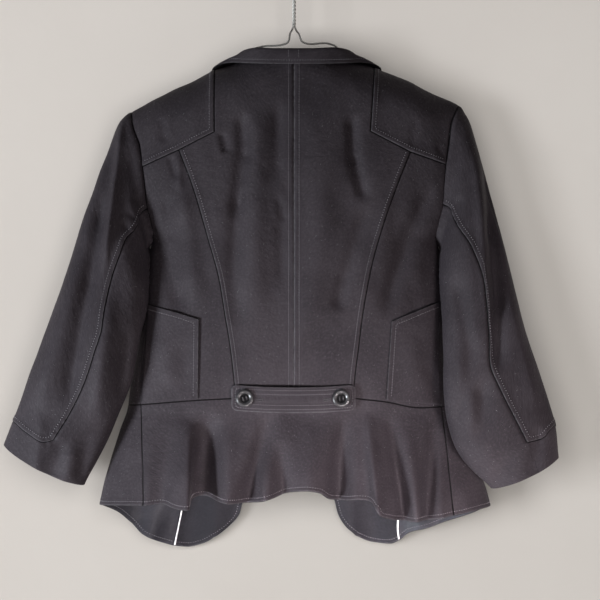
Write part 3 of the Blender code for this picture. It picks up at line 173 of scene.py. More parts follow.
FRONT_HEM = [  # left_turn, left_down, right_turn, right_down, from the side seam round to the rounded corner
    (-74.0, 669.0, 76.0, 672.0),
    (-97.0, 671.0, 97.0, 672.0),
    (-112.9, 680.2, 115.0, 684.0),
    (-122.3, 695.1, 128.1, 694.6),
    (-129.1, 711.2, 136.6, 703.3),
    (-135.6, 720.0, 142.1, 708.0),
    (-146.9, 728.4, 150.0, 724.3),
    (-151.6, 724.4, 155.5, 723.4),
]
FRONT_EDGE = [  # left_x, left_down, right_x, right_down, from the rounded corner up to the waist
    (-96.9, 714.9, 76.6, 714.9),
    (-79.6, 700.7, 64.2, 702.5),
    (-68.4, 688.9, 55.5, 688.9),
    (-64.2, 674.5, 50.2, 671.0),
    (-56.0, 648.0, 42.0, 645.0),
    (-40.0, 613.0, 26.0, 610.0),
    (-16.0, 575.0, 6.0, 575.0),
    (12.0, 546.0, -14.0, 546.0),
]
ROLL_LINE = [  # reach across the centre, down, from the neck point to the break
    (66.0, 133.0), (50.0, 172.0), (28.0, 240.0), (4.0, 300.0), (-12.0, 336.0),
]
BACK_FOLDS = [  # x1, down1, x2, down2, width, height: troughs are negative
    (-62.8, 204.0, -59.0, 256.0, 7.5, -4.7),
    (-61.0, 250.0, -69.0, 318.0, 8.0, -4.5),
    (-67.0, 300.0, -73.0, 398.0, 9.5, -4.7),
    (-72.0, 395.0, -66.0, 450.0, 9.0, -2.1),
    (-19.0, 190.0, -19.5, 276.0, 8.0, -3.7),
    (-19.5, 300.0, -11.5, 328.0, 3.6, -2.5),
    (-16.0, 325.0, -13.5, 400.0, 7.0, -2.4),
    (-86.0, 224.0, -80.5, 246.0, 4.0, -2.2),
    (-91.0, 228.0, -88.0, 252.0, 3.6, 1.1),
    (-44.5, 205.0, -43.0, 290.0, 12.0, 3.9),
    (-43.0, 285.0, -48.0, 425.0, 14.0, 4.2),
    (69.0, 206.0, 71.0, 258.0, 7.0, -5.0),
    (71.0, 252.0, 83.0, 300.0, 7.5, -4.5),
    (84.0, 320.0, 62.0, 395.0, 9.0, -3.2),
    (61.0, 390.0, 52.0, 432.0, 8.0, -3.4),
    (30.0, 185.0, 31.0, 365.0, 22.0, 4.2),
    (31.0, 360.0, 22.0, 450.0, 18.0, 2.9),
    (164.0, 288.0, 136.0, 348.0, 9.0, -4.7),
    (137.0, 345.0, 110.0, 432.0, 10.0, -5.8),
    (168.0, 330.0, 146.0, 400.0, 12.0, 3.2),
    (112.0, 300.0, 100.0, 390.0, 10.0, 2.4),
    (-147.0, 252.0, -141.0, 276.0, 4.5, -2.4),
    (-139.0, 250.0, -136.0, 290.0, 5.0, 2.6),
    (-152.0, 300.0, -150.0, 350.0, 8.0, -2.9),
    (-160.0, 358.0, -134.0, 432.0, 12.0, -6.1),
    (-134.0, 290.0, -118.0, 420.0, 12.0, 4.7),
    (-172.0, 300.0, -168.0, 345.0, 5.5, -3.4),
    (-157.0, 206.0, -156.0, 232.0, 6.5, -2.1),
    (-150.0, 206.0, -149.0, 226.0, 4.5, 1.0),
    (145.0, 208.0, 143.0, 236.0, 6.0, -1.4),
    (172.0, 236.0, 179.0, 254.0, 4.0, -1.6),
    (-158.0, 468.0, -150.0, 520.0, 11.0, 2.4),
    (-128.0, 470.0, -132.0, 528.0, 10.0, -1.4),
    (140.0, 468.0, 146.0, 525.0, 12.0, 2.1),
    (162.0, 500.0, 168.0, 540.0, 7.0, -2.6),
]
PEPLUM_FOLDS = [  # x1, down1, x2, down2, width, height: growing from the waist to the hem
    (-102.5, 552.0, -109.0, 655.0, 13.0, -34.0),
    (-127.0, 566.0, -134.0, 676.0, 12.0, 19.0),
    (-92.0, 560.0, -94.0, 660.0, 12.0, -8.0),
    (-150.0, 578.0, -158.0, 676.0, 9.0, -4.5),
    (-173.0, 590.0, -176.0, 680.0, 8.0, 4.0),
    (-80.0, 575.0, -82.0, 664.0, 12.0, 9.5),
    (-60.0, 585.0, -68.0, 664.0, 12.0, 3.0),
    (-27.0, 552.0, -52.0, 648.0, 11.0, -14.0),
    (-36.0, 580.0, -34.0, 660.0, 9.0, 5.0),
    (-16.0, 590.0, -13.0, 656.0, 10.0, -12.0),
    (22.0, 572.0, 20.0, 650.0, 15.0, 8.5),
    (60.0, 556.0, 54.0, 652.0, 11.5, -20.0),
    (88.0, 552.0, 102.0, 668.0, 8.5, 15.0),
    (113.0, 556.0, 130.0, 678.0, 9.0, -16.0),
    (135.0, 575.0, 148.0, 684.0, 9.0, 9.5),
    (172.0, 556.0, 158.0, 660.0, 8.5, -11.0),
    (171.0, 572.0, 176.0, 684.0, 8.0, 5.0),
]
ROLLS = [  # x1, down1, x2, down2, width, lean: where a fold leans over its neighbour
    (-112.0, 560.0, -120.0, 668.0, 15.0, 0.10),
    (-127.0, 560.0, -134.0, 668.0, 12.0, 0.35),
    (92.0, 560.0, 106.0, 676.0, 12.0, -0.16),
]
FRONT_FOLDS = [  # x1, down1, x2, down2, width, height on the fronts
    (-110.0, 260.0, -86.0, 430.0, 14.0, -3.4),
    (-70.0, 300.0, -60.0, 460.0, 13.0, 2.6),
    (-140.0, 240.0, -128.0, 330.0, 9.0, -2.4),
    (-128.0, 380.0, -84.0, 470.0, 11.0, -2.6),
    (112.0, 270.0, 90.0, 420.0, 13.0, -3.2),
    (76.0, 320.0, 70.0, 470.0, 14.0, 2.4),
    (146.0, 240.0, 132.0, 340.0, 10.0, -2.2),
    (134.0, 390.0, 92.0, 468.0, 10.0, -2.4),
]
FRONT_PEPLUM_FOLDS = [  # x1, down1, x2, down2, width, height
    (-150.0, 570.0, -175.0, 700.0, 14.0, -9.0),
    (-120.0, 570.0, -130.0, 720.0, 18.0, 8.0),
    (-92.0, 570.0, -96.0, 720.0, 12.0, -4.5),
    (-60.0, 570.0, -72.0, 710.0, 12.0, 4.0),
    (130.0, 570.0, 158.0, 700.0, 14.0, -9.0),
    (90.0, 570.0, 100.0, 720.0, 18.0, 8.0),
    (66.0, 570.0, 70.0, 710.0, 11.0, -4.0),
    (40.0, 570.0, 46.0, 700.0, 12.0, 3.0),
]
SLEEVE_FOLDS = [  # side, x1, down1, x2, down2, width, height
    (-1, -206.5, 205.0, -224.5, 385.0, 4.6, 5.6),
    (-1, -214.0, 240.0, -236.0, 350.0, 9.0, -2.6),
    (-1, -198.0, 250.0, -206.0, 350.0, 8.0, -3.2),
    (-1, -229.0, 305.0, -246.0, 418.0, 9.5, -9.0),
    (-1, -246.0, 405.0, -268.0, 535.0, 10.0, -9.0),
    (-1, -262.0, 380.0, -304.0, 545.0, 15.0, 5.5),
    (-1, -199.0, 318.0, -190.0, 326.0, 3.5, -1.8),
    (-1, -206.0, 330.0, -196.0, 340.0, 3.5, -1.8),
    (-1, -196.0, 300.0, -188.0, 306.0, 4.0, -1.6),
    (-1, -196.0, 460.0, -206.0, 540.0, 9.0, -4.5),
    (-1, -218.0, 430.0, -234.0, 560.0, 10.0, 6.0),
    (-1, -246.0, 578.0, -254.0, 640.0, 9.0, -4.0),
    (-1, -276.0, 588.0, -290.0, 628.0, 10.0, -5.0),
    (-1, -300.0, 560.0, -306.0, 620.0, 9.0, 4.0),
    (-1, -262.0, 596.0, -268.0, 632.0, 8.0, 3.0),
    (1, 233.0, 222.0, 240.0, 345.0, 8.5, -13.0),
    (1, 239.0, 330.0, 243.0, 430.0, 8.5, -13.0),
    (1, 242.0, 420.0, 242.0, 500.0, 9.0, -8.0),
    (1, 219.0, 235.0, 228.0, 440.0, 7.0, 5.0),
    (1, 255.0, 300.0, 268.0, 420.0, 12.0, -3.0),
    (1, 264.0, 420.0, 284.0, 540.0, 12.0, 5.0),
    (1, 193.0, 400.0, 210.0, 486.0, 7.0, -4.5),
    (1, 206.0, 340.0, 215.0, 470.0, 10.0, 3.0),
    (1, 190.0, 480.0, 222.0, 600.0, 11.0, 5.5),
    (1, 222.0, 520.0, 218.0, 590.0, 9.0, -6.5),
    (1, 208.0, 480.0, 198.0, 560.0, 7.0, -3.5),
    (1, 252.0, 600.0, 240.0, 640.0, 11.0, -4.0),
    (1, 288.0, 575.0, 282.0, 625.0, 9.0, -4.0),
    (1, 199.0, 300.0, 193.0, 330.0, 5.0, -2.4),
]
SLEEVE_ROLLS = {1: [(233.0, 222.0, 243.0, 500.0, 13.0, 0.30)], -1: [(-229.0, 305.0, -268.0, 535.0, 14.0, -0.16)]}
# sleeve sections: the outer edge, the inner edge, half its thickness and how far
# behind the hanger's plane its middle hangs
SLEEVE_LEFT = [  # outer_x, outer_down, inner_x, inner_down, half_thick, middle_y
    (-196.2, 195.6, -172.0, 350.4, 20.0, 0.0),
    (-209.6, 208.0, -177.8, 358.5, 25.0, -3.0),
    (-220.4, 231.5, -175.8, 370.0, 29.0, -8.0),
    (-234.0, 267.0, -175.8, 387.0, 31.0, -14.0),
    (-247.2, 310.8, -176.2, 406.8, 32.0, -21.0),
    (-263.0, 361.2, -177.4, 428.4, 32.5, -24.0),
    (-278.2, 408.0, -181.8, 453.6, 32.5, -28.0),
    (-293.8, 451.2, -186.4, 484.8, 32.5, -30.5),
    (-309.6, 494.4, -193.6, 520.8, 32.0, -31.0),
    (-325.0, 536.4, -210.8, 561.6, 31.0, -26.0),
    (-336.4, 566.4, -227.8, 598.8, 30.0, -24.0),
    (-347.6, 595.2, -250.6, 643.4, 29.0, -22.0),
]
SLEEVE_RIGHT = [  # outer_x, outer_down, inner_x, inner_down, half_thick, middle_y
    (198.6, 188.0, 173.0, 350.4, 20.0, 0.0),
    (211.0, 206.0, 178.5, 359.0, 25.0, -3.0),
    (220.0, 236.4, 177.5, 371.0, 29.0, -8.0),
    (231.2, 278.4, 177.0, 387.0, 31.0, -15.0),
    (242.6, 321.6, 177.0, 408.0, 32.0, -22.0),
    (255.0, 372.0, 177.2, 430.0, 32.0, -26.0),
    (267.6, 427.2, 177.6, 458.4, 32.0, -31.0),
    (280.0, 474.0, 178.0, 489.6, 31.5, -36.0),
    (292.4, 512.4, 178.0, 527.0, 31.0, -40.0),
    (303.0, 544.8, 183.0, 569.0, 30.5, -43.0),
    (310.6, 573.0, 198.0, 608.0, 30.0, -45.0),
    (314.2, 609.0, 234.0, 645.4, 29.0, -46.0),
]
CUFF_DROP = (7.0, 5.0)   # how far the cuff's edge bows down between its corners, left and right
SLEEVE_SEAM_LEFT = [  # x, down, back seam from the armhole to the cuff's corner
    (-191.2, 339.6), (-200.5, 352.0), (-207.0, 369.6), (-215.5, 394.2), (-224.4, 432.0), (-227.5, 460.0),
    (-234.8, 486.0), (-254.4, 535.2), (-264.4, 554.4), (-284.5, 588.0),
]
SLEEVE_SEAM_RIGHT = [  # x, down
    (196.8, 336.0), (211.2, 362.4), (223.0, 394.8), (227.6, 422.4), (229.5, 460.0), (232.5, 502.8),
    (242.4, 524.4), (259.2, 561.6), (275.0, 590.0),
]
SLEEVE_HEM = [  # left_x, left_down, right_x, right_down: the upper sleeve's lower seam, from the corner out
    (-284.5, 588.0, 275.0, 590.0),
    (-301.2, 590.0, 289.9, 586.8),
    (-318.4, 579.6, 301.7, 577.0),
    (-335.0, 566.6, 313.5, 567.5),
]
COLLAR = [  # fold_x, fold_y, fold_down, edge_x, edge_down, edge_face (-1 back, 1 front), edge_lift
    (0.0, -37.5, 123.2, 0.0, 141.6, -1, 4.0),
    (28.0, -36.5, 122.6, 34.0, 140.8, -1, 4.0),
    (48.0, -31.0, 121.8, 60.0, 138.8, -1, 5.0),
    (61.0, -20.0, 123.8, 80.0, 137.0, -1, 9.0),
    (68.0, -8.0, 127.2, 94.0, 139.6, -1, 7.0),
    (70.0, 6.0, 129.0, 100.0, 144.6, 1, 7.0),
    (68.0, 19.0, 137.0, 103.0, 158.5, 1, 4.0),
    (62.0, 30.0, 151.0, 100.0, 178.0, 1, 3.6),
    (56.0, 38.5, 166.0, 92.0, 196.0, 1, 3.6),
]
COLLAR_LEAN = 6.0     # the right half sits a little wider
COLLAR_NECK = [  # x, down on the fronts, going on from the neck point to the collar's end
    (66.0, 134.5), (61.0, 143.0), (57.0, 153.0), (52.5, 164.0),
]
LAPEL = [  # roll_x, roll_down, edge_x, edge_down
    (50.5, 172.0, 90.0, 203.0),
    (44.0, 190.0, 110.0, 226.0),
    (34.0, 222.0, 100.0, 252.0),
    (18.0, 264.0, 72.0, 286.0),
    (4.0, 300.0, 32.0, 316.0),
    (-9.0, 330.0, -2.0, 336.0),
]
LAPEL_UNDER_END = (2.0, 306.0, 12.0, 322.0)   # the lapel that is lapped over stops here
PATCH = [  # left_x, left_down, right_x, right_down: outer top, inner top, inner low, outer low
    (-174.0, 427.5, 173.0, 424.5),
    (-112.8, 445.2, 115.6, 447.6),
    (-114.0, 539.6, 109.7, 541.6),
    (-181.5, 545.4, 176.0, 548.6),
]
PIPING = [  # left_x, left_down, right_x, right_down: where the piping meets the hem
    (-149.5, 726.3, 130.6, 719.5),
]
PIPE_COLUMN = 76      # the piping runs down this column of the front peplum
CLOTH_COLOUR = (0.020, 0.019, 0.022, 1.0)
LINING_COLOUR = (0.028, 0.028, 0.034, 1.0)
PIPING_COLOUR = (0.78, 0.78, 0.76, 1.0)
BUTTON_COLOUR = (0.012, 0.012, 0.013, 1.0)
WIRE_COLOUR = (0.80, 0.79, 0.75, 1.0)


# ------------------------------------------------------------ curves
def column(rows, i):
    return np.array([r[i] for r in rows], dtype=float)


def smooth(xs, ys, x):
    """Monotone cubic through a table's rows."""
    xs, ys, x = np.asarray(xs, float), np.asarray(ys, float), np.asarray(x, float)
    h = np.diff(xs)
    s = np.diff(ys) / h
    m = np.zeros(len(xs))
    m[0], m[-1] = s[0], s[-1]
    for i in range(1, len(xs) - 1):
        if s[i - 1] * s[i] > 0:
            w1, w2 = 2 * h[i] + h[i - 1], h[i] + 2 * h[i - 1]
            m[i] = (w1 + w2) / (w1 / s[i - 1] + w2 / s[i])
    xc = np.clip(x, xs[0], xs[-1])
    k = np.clip(np.searchsorted(xs, xc, side='right') - 1, 0, len(xs) - 2)
    t = (xc - xs[k]) / h[k]
    return ((2 * t ** 3 - 3 * t ** 2 + 1) * ys[k] + (t ** 3 - 2 * t ** 2 + t) * h[k] * m[k]
            + (-2 * t ** 3 + 3 * t ** 2) * ys[k + 1] + (t ** 3 - t ** 2) * h[k] * m[k + 1])


def along(points, n, dense=1.0):
    """n segments along a smooth curve through points; dense > 1 packs them at the start."""
    p = np.array(points, dtype=float)
    if len(p) == 2:
        s = ramp(n) ** dense
        return p[0] + (p[1] - p[0]) * s[:, None]
    chord = np.concatenate([[0], np.cumsum(np.linalg.norm(np.diff(p, axis=0), axis=1))])
    m = np.gradient(p, chord, axis=0)
    s = (ramp(n) ** dense) * chord[-1]
    k = np.clip(np.searchsorted(chord, s, side='right') - 1, 0, len(p) - 2)
    h = (chord[k + 1] - chord[k])[:, None]
    t = ((s - chord[k]) / (chord[k + 1] - chord[k]))[:, None]
    return ((2 * t ** 3 - 3 * t ** 2 + 1) * p[k] + (t ** 3 - 2 * t ** 2 + t) * h * m[k]
            + (-2 * t ** 3 + 3 * t ** 2) * p[k + 1] + (t ** 3 - t ** 2) * h * m[k + 1])


def pick(rows, side):
    i = 0 if side < 0 else 2
    return [(r[i], r[i + 1]) for r in rows]


def fold_height(folds, x, down, grows):
    total = np.zeros(np.shape(x))
    for x1, d1, x2, d2, width, height in folds:
        ax, ad = x2 - x1, d2 - d1
        length = math.hypot(ax, ad)
        f = ((x - x1) * ax + (down - d1) * ad) / length ** 2
        off = np.abs((x - x1) * ad - (down - d1) * ax) / length
        if grows:
            f2 = np.clip(f, 0, 1)
            end = f2 ** 0.8
        else:
            f2 = np.clip(f, -0.15, 1.15)
            end = np.clip((f2 + 0.15) / 0.35, 0, 1) * np.clip((1.15 - f2) / 0.35, 0, 1)
            end = end * end * (3 - 2 * end)
        total = total + height * end * np.exp(-(off / width) ** 2)
    return total


# ------------------------------------------------------------ the body's surface
def half_width(down, side):
    return smooth(column(TORSO, 0), column(TORSO, 1 if side < 0 else 2), down)


def shoulder(x):
    return smooth(column(SHOULDER_LINE, 0), column(SHOULDER_LINE, 1), x)


def torso(turn, down, out=0.0):
    """The body's outer surface; out, meant to move it out a little for what lies on it, is not used."""
    turn, down = np.asarray(turn, float), np.asarray(down, float)
    sn = np.sin(np.radians(turn))
    left = half_width(down, -1)
    right = half_width(down, 1)
    blend = np.clip(0.5 + sn * 4.0, 0, 1)
    half = left + (right - left) * blend
    x = half * sn
    flat = np.sqrt(np.clip(1 - np.abs(sn) ** SIDE_POWER, 0, 1))
    t = np.clip((down - shoulder(x)) / SHOULDER_ROLL, 0, 1)
    roll = np.sqrt(1 - (1 - t) ** 2)
    is_back = np.abs(turn) <= 90
    back = smooth(column(TORSO, 0), column(TORSO, 3), down)
    front = smooth(column(TORSO, 0), column(TORSO, 4), down)
    body = np.clip((560 - down) / 20, 0, 1)
    grown = np.clip((down - 549) / 20, 0, 1)
    fp = 1.22 * fold_height(PEPLUM_FOLDS, x, down, True) * grown
    fb = 1.28 * fold_height(BACK_FOLDS, x, down, False) * body * roll + fp
    ff = fold_height(FRONT_PEPLUM_FOLDS, x, down, True) * grown + fold_height(FRONT_FOLDS, x, down, False) * body * roll
    depth = np.where(is_back, -(back * flat * roll + fb * flat), front * flat * roll + ff * flat)
    # a rolled fold leans over the trough beside it
    for x1, d1, x2, d2, wide, lean in ROLLS:
        mid = x1 + (x2 - x1) * (down - d1) / (d2 - d1)
        x = x + np.where(is_back, lean * fp * np.exp(-((x - mid) / wide) ** 2), 0.0)
    return np.stack([x, depth, -down], axis=-1)


def to_turn(points, side=0, face=-1):
    """(x, down) to (turn, down); face -1 is the back and 1 the front."""
    out = []
    for x, down in points:
        s = int(x > 0) - int(x < 0)
        half = float(half_width(down, s if s else 1))
        a = math.degrees(math.asin(max(-1.0, min(1.0, x / half))))
        out.append((a, down) if face < 0 else (side * 180 - a, down))
    return np.array(out, dtype=float)


# ------------------------------------------------------------ panels
def share(curve):
    """How far along its curve each sample is, from 0 to 1."""
    c = np.concatenate([[0], np.cumsum(np.linalg.norm(np.diff(np.asarray(curve, float), axis=0), axis=1))])
    return c / c[-1] if c[-1] > 1e-9 else np.linspace(0, 1, len(c))


def coons(top, bottom, left, right):
    """A four-sided grid from its edges: rows run from top to bottom, columns left to right."""
    top, bottom, left, right = (np.asarray(c, float) for c in (top, bottom, left, right))
    nu, nv = len(top) - 1, len(left) - 1
    u = (share(top) + share(bottom))[None, :, None] / 2
    v = (share(left) + share(right))[:, None, None] / 2
    # keep each edge's own spacing inside the patch
    g = (1 - v) * top[None] + v * bottom[None] + (1 - u) * left[:, None] + u * right[:, None] \
        - ((1 - u) * (1 - v) * top[0] + u * (1 - v) * top[-1] + (1 - u) * v * bottom[0] + u * v * bottom[-1])
    return g


class Cloth:
    """A sheet of joined grids; all sheets share seam directions before they get a thickness."""
    every = []

    def __init__(self, name, grids, outward, wall=WALL, sewn=True, inset=0.02, shade='cloth', group=None):
        self.name, self.wall, self.inset, self.shade = name, wall, inset, shade
        self.group = group or ('shell' if sewn else name)
        keys, self.p, self.tris, self.quads, self.ids, self.uv = {}, [], [], [], [], []
        drop = 0.0
        for g in grids:
            ids = np.zeros(g.shape[:2], int)
            across = np.concatenate([np.zeros((g.shape[0], 1)),
                                     np.cumsum(np.linalg.norm(np.diff(g, axis=1), axis=2), axis=1)], axis=1)
            across = across - across[:, -1:] / 2
            downs = np.concatenate([np.zeros((1, g.shape[1])),
                                    np.cumsum(np.linalg.norm(np.diff(g, axis=0), axis=2), axis=0)], axis=0) + drop
            drop = drop + float(np.mean(downs[-1] - downs[0]))
            for i in range(g.shape[0]):
                for j in range(g.shape[1]):
                    k = tuple(np.round(g[i, j], 3))
                    if k not in keys:
                        keys[k] = len(self.p)
                        self.p.append(g[i, j])
                        self.uv.append((across[i, j], downs[i, j]))
                    ids[i, j] = keys[k]
            self.ids.append(ids)
            for i in range(g.shape[0] - 1):
                for j in range(g.shape[1] - 1):
                    q = [ids[i, j], ids[i, j + 1], ids[i + 1, j + 1], ids[i + 1, j]]
                    if len(set(q)) < 3:
                        continue
                    self.quads.append(q)
        self.p = np.array(self.p)
        self.uv = np.array(self.uv)
        self.lift = np.zeros(len(self.p))
        self.own = np.full(len(self.p), 40.0)
        # distance to the nearest seam line or stitch row, where shade is painted into the colour
        self.dent = np.full(len(self.p), 40.0)
        for a, b, c, d in self.quads:
            if len({a, b, c, d}) == 3:
                t = [v for i, v in enumerate((a, b, c, d)) if v != (a, b, c, d)[i - 1]]
                self.tris.append(t)
                continue
            if np.linalg.norm(self.p[a] - self.p[c]) <= np.linalg.norm(self.p[b] - self.p[d]):
                self.tris += [[a, b, c], [a, c, d]]
            else:
                self.tris += [[a, b, d], [b, c, d]]
        self.tris = np.array(self.tris)
        fn = self.face_normals()
        mid = self.p[self.tris].mean(axis=1)
        if np.sum(np.sum(fn * (mid - np.asarray(outward(mid))), axis=1)) < 0:
            self.tris = self.tris[:, ::-1]
            fn = -fn
        self.n = np.zeros_like(self.p)
        for c in range(3):
            np.add.at(self.n, self.tris[:, c], fn)
        self.n /= np.maximum(np.linalg.norm(self.n, axis=1), 1e-9)[:, None]
        Cloth.every.append(self)

    def face_normals(self):
        a, b, c = (self.p[self.tris[:, i]] for i in range(3))
        return np.cross(b - a, c - a)

    def border(self):
        seen = {}
        for t in self.tris:
            for i in range(3):
                a, b = int(t[i]), int(t[(i + 1) % 3])
                seen[(a, b)] = True
        return [(a, b) for (a, b) in seen if (b, a) not in seen]

    def solid(self):
        """Outer face, inner face and a rim, each border point drawn in by half a seam gap."""
        edges = self.border()
        pull = {}
        for a, b in edges:
            e = self.p[b] - self.p[a]
            e = e / np.linalg.norm(e)
            for v in (a, b):
                d = np.cross(self.n[v], e)
                d = d / np.linalg.norm(d)
                pull.setdefault(v, []).append(d)
        p = self.p.copy()
        for v, ds in pull.items():
            d = np.sum(ds, axis=0)
            ln = np.linalg.norm(d)
            if ln < 1e-6:
                continue
            d = d / ln
            c = max(0.35, float(np.mean([np.dot(d, k) for k in ds])))
            p[v] = p[v] + d * (self.inset / c)
        m = len(p)
        p = p + self.n * self.lift[:, None]
        q = p - self.n * self.wall
        faces = [list(t) for t in self.tris] + [[int(t[0]) + m, int(t[2]) + m, int(t[1]) + m] for t in self.tris]
        for a, b in edges:
            faces += [[a, a + m, b], [b, a + m, b + m]]
        return np.concatenate([p, q]), faces


def share_seams():
    """Where sheets of one group meet, they take one common direction."""
    groups = {}
    for c in Cloth.every:
        groups.setdefault(c.group, []).append(c)
    for sheets in groups.values():
        who, pts, nrm = [], [], []
        for c in sheets:
            for v in sorted({x for e in c.border() for x in e}):
                who.append((c, v))
                pts.append(c.p[v])
                nrm.append(c.n[v])
        pts, nrm = np.array(pts), np.array(nrm)
        for (c, v), q in zip(who, pts):
            near = np.sum((pts - q) ** 2, axis=1) < 1e-4
            total = nrm[near].sum(axis=0)
            if np.linalg.norm(total) > 0.3:
                c.n[v] = total / np.linalg.norm(total)


# ------------------------------------------------------------ edges, by name
def build_edges(side, n=N):
    """Every seam of one side as (turn, down) samples that both neighbours use."""
    e = {}
    arm = pick(ARMHOLE, side)
    low = pick(YOKE_LOW, side)
    neck_x = 66.0 * side
    yoke_top = (-96.0, 144.2) if side < 0 else (97.0, 141.4)
    tip = arm[0]
    xs = tip[0] + (yoke_top[0] - tip[0]) * ramp(n['shoulder_outer'])
    e['shoulder_outer'] = to_turn([(x, float(shoulder(x))) for x in xs])
    xs = yoke_top[0] + (neck_x - yoke_top[0]) * ramp(n['shoulder_inner'])
    e['shoulder_inner'] = to_turn([(x, float(shoulder(x))) for x in xs])
    a = np.linspace(0, 1, n['neck'] + 1) * math.pi / 2
    start = float(shoulder(neck_x))
    e['neck'] = to_turn([(neck_x * math.cos(t), start + (137.5 - start) * math.sin(t)) for t in a])
    e['yoke_inner'] = to_turn(along([yoke_top, low[0]], n['yoke_side'], 1.6))
    e['yoke_low_in'] = to_turn(along([low[0], low[1]], n['yoke_low_in']))
    e['yoke_low_out'] = to_turn(along([low[1], low[2]], n['yoke_low_out']))
    # armhole: tip, yoke corner, sleeve seam, underarm
    e['arm_top'] = to_turn(along(arm[:4][:-1] + [low[2]], n['yoke_side'], 1.5))
    e['arm_mid'] = to_turn(along([low[2], arm[4], arm[5]], n['arm_mid']))
    t0 = to_turn([arm[5]])[0]
    b = np.linspace(0, 1, n['arm_low'] + 1) * math.pi / 2
    e['arm_low'] = np.array([(side * 90 - (side * 90 - t0[0]) * math.cos(t),
                              t0[1] + (UNDERARM - t0[1]) * math.sin(t)) for t in b])
    e['arm_front'] = np.array([(side * 180 - t, d) for t, d in
                               np.concatenate([e['arm_top'], e['arm_mid'][1:], e['arm_low'][1:]])])
    e['princess'] = to_turn(along(pick(PRINCESS, side), n['rows']))
    e['princess'][0] = e['yoke_low_in'][-1]
    under = e['arm_low'][-1]
    seam = to_turn(pick(SIDE_SEAM, side))
    e['side'] = along([tuple(under)] + [tuple(s) for s in seam], n['side'])
    w = pick(WAIST, side)
    e['waist_in'] = to_turn(along([w[0], w[1]], n['shoulder_inner'] + n['neck']))
    e['waist_out'] = to_turn(along(w[1:], n['yoke_low_out']))
    e['princess'][-1] = e['waist_in'][-1]
    e['waist_out'][0] = e['waist_in'][-1]
    e['side'][-1] = e['waist_out'][-1]
    levels = np.concatenate([along([(0.0, 137.5), (0.0, 222.0)], n['yoke_side']),
                             along([(0.0, 222.0), (0.0, 252.0)], n['yoke_low_in'])[1:],
                             along([(0.0, 252.0), (0.0, 538.8)], n['rows'])[1:]])
    e['centre'] = levels
    # fronts
    roll = [(side * x, d) for x, d in ROLL_LINE]
    n_arm = len(e['arm_front']) - 1
    e['roll'] = to_turn(along(roll, n_arm, 1.15), side, 1)
    e['roll'][0] = (side * 180 - e['shoulder_inner'][-1][0], e['shoulder_inner'][-1][1])
    brk = e['roll'][-1]
    n_wide = n['shoulder_outer'] + n['shoulder_inner']
    e['chest'] = np.linspace(tuple(under), tuple(brk), n_wide + 1)
    edge_low = to_turn([(-12.0 * side if side < 0 else -14.0, 546.0)], side, 1)[0]
    if side < 0:
        edge_low = to_turn([(12.0, 546.0)], side, 1)[0]
    e['front_edge'] = np.linspace(tuple(brk), tuple(edge_low), n['side'] + 1)
    s0 = e['side'][-1]
    mids = [tuple(s0), (side * 90.0, 549.0), (side * 130.0, 548.0), tuple(edge_low)]
    e['waist_front'] = along(mids, n_wide)
    e['peplum_seam'] = to_turn(along(pick(PEPLUM_SEAM, side), n['peplum']))
    e['peplum_seam'][0] = s0
    return e


def halve(curve):
    """Twice the segments, keeping the samples."""
    out = [curve[0]]
    for a, b in zip(curve[:-1], curve[1:]):
        out += [(np.asarray(a) + np.asarray(b)) / 2, b]
    return np.array(out)


def straighten(grid):
    """Middle samples of a doubled top edge go onto the straight line between their neighbours."""
    grid[0, 1::2] = (grid[0, 0:-1:2] + grid[0, 2::2]) / 2
    return grid


def surf(grid, out=0.0):
    p = torso(grid[..., 0], grid[..., 1])
    if out:
        e = 0.4
        a = torso(grid[..., 0] + e, grid[..., 1]) - torso(grid[..., 0] - e, grid[..., 1])
        b = torso(grid[..., 0], grid[..., 1] + e) - torso(grid[..., 0], grid[..., 1] - e)
        nrm = np.cross(a, b)
        ln = np.linalg.norm(nrm, axis=-1)[..., None]
        nrm = nrm / np.where(ln < 1e-9, 1, ln)
        away = p * np.array([0.15, 1.0, 0.0])
        sign = np.sign(np.sum(nrm * away, axis=-1))[..., None]
        p = p + nrm * sign * out
    return p


def from_axis(mid):
    return np.stack([mid[:, 0] * 0.8, mid[:, 1] * 0, mid[:, 2]], axis=1)


E = {-1: build_edges(-1), 1: build_edges(1)}


# ------------------------------------------------------------ body panels
def cf_shift(p, side):
    """The right front laps over the left round the centre."""
    f = np.clip((34 - np.abs(p[..., 0])) / 18, 0, 1)
    f = f * f * (3 - 2 * f)
    p = p.copy()
    p[..., 1] += np.where(p[..., 1] > 0, (1.5 if side > 0 else -1.5) * f, 0)
    return p


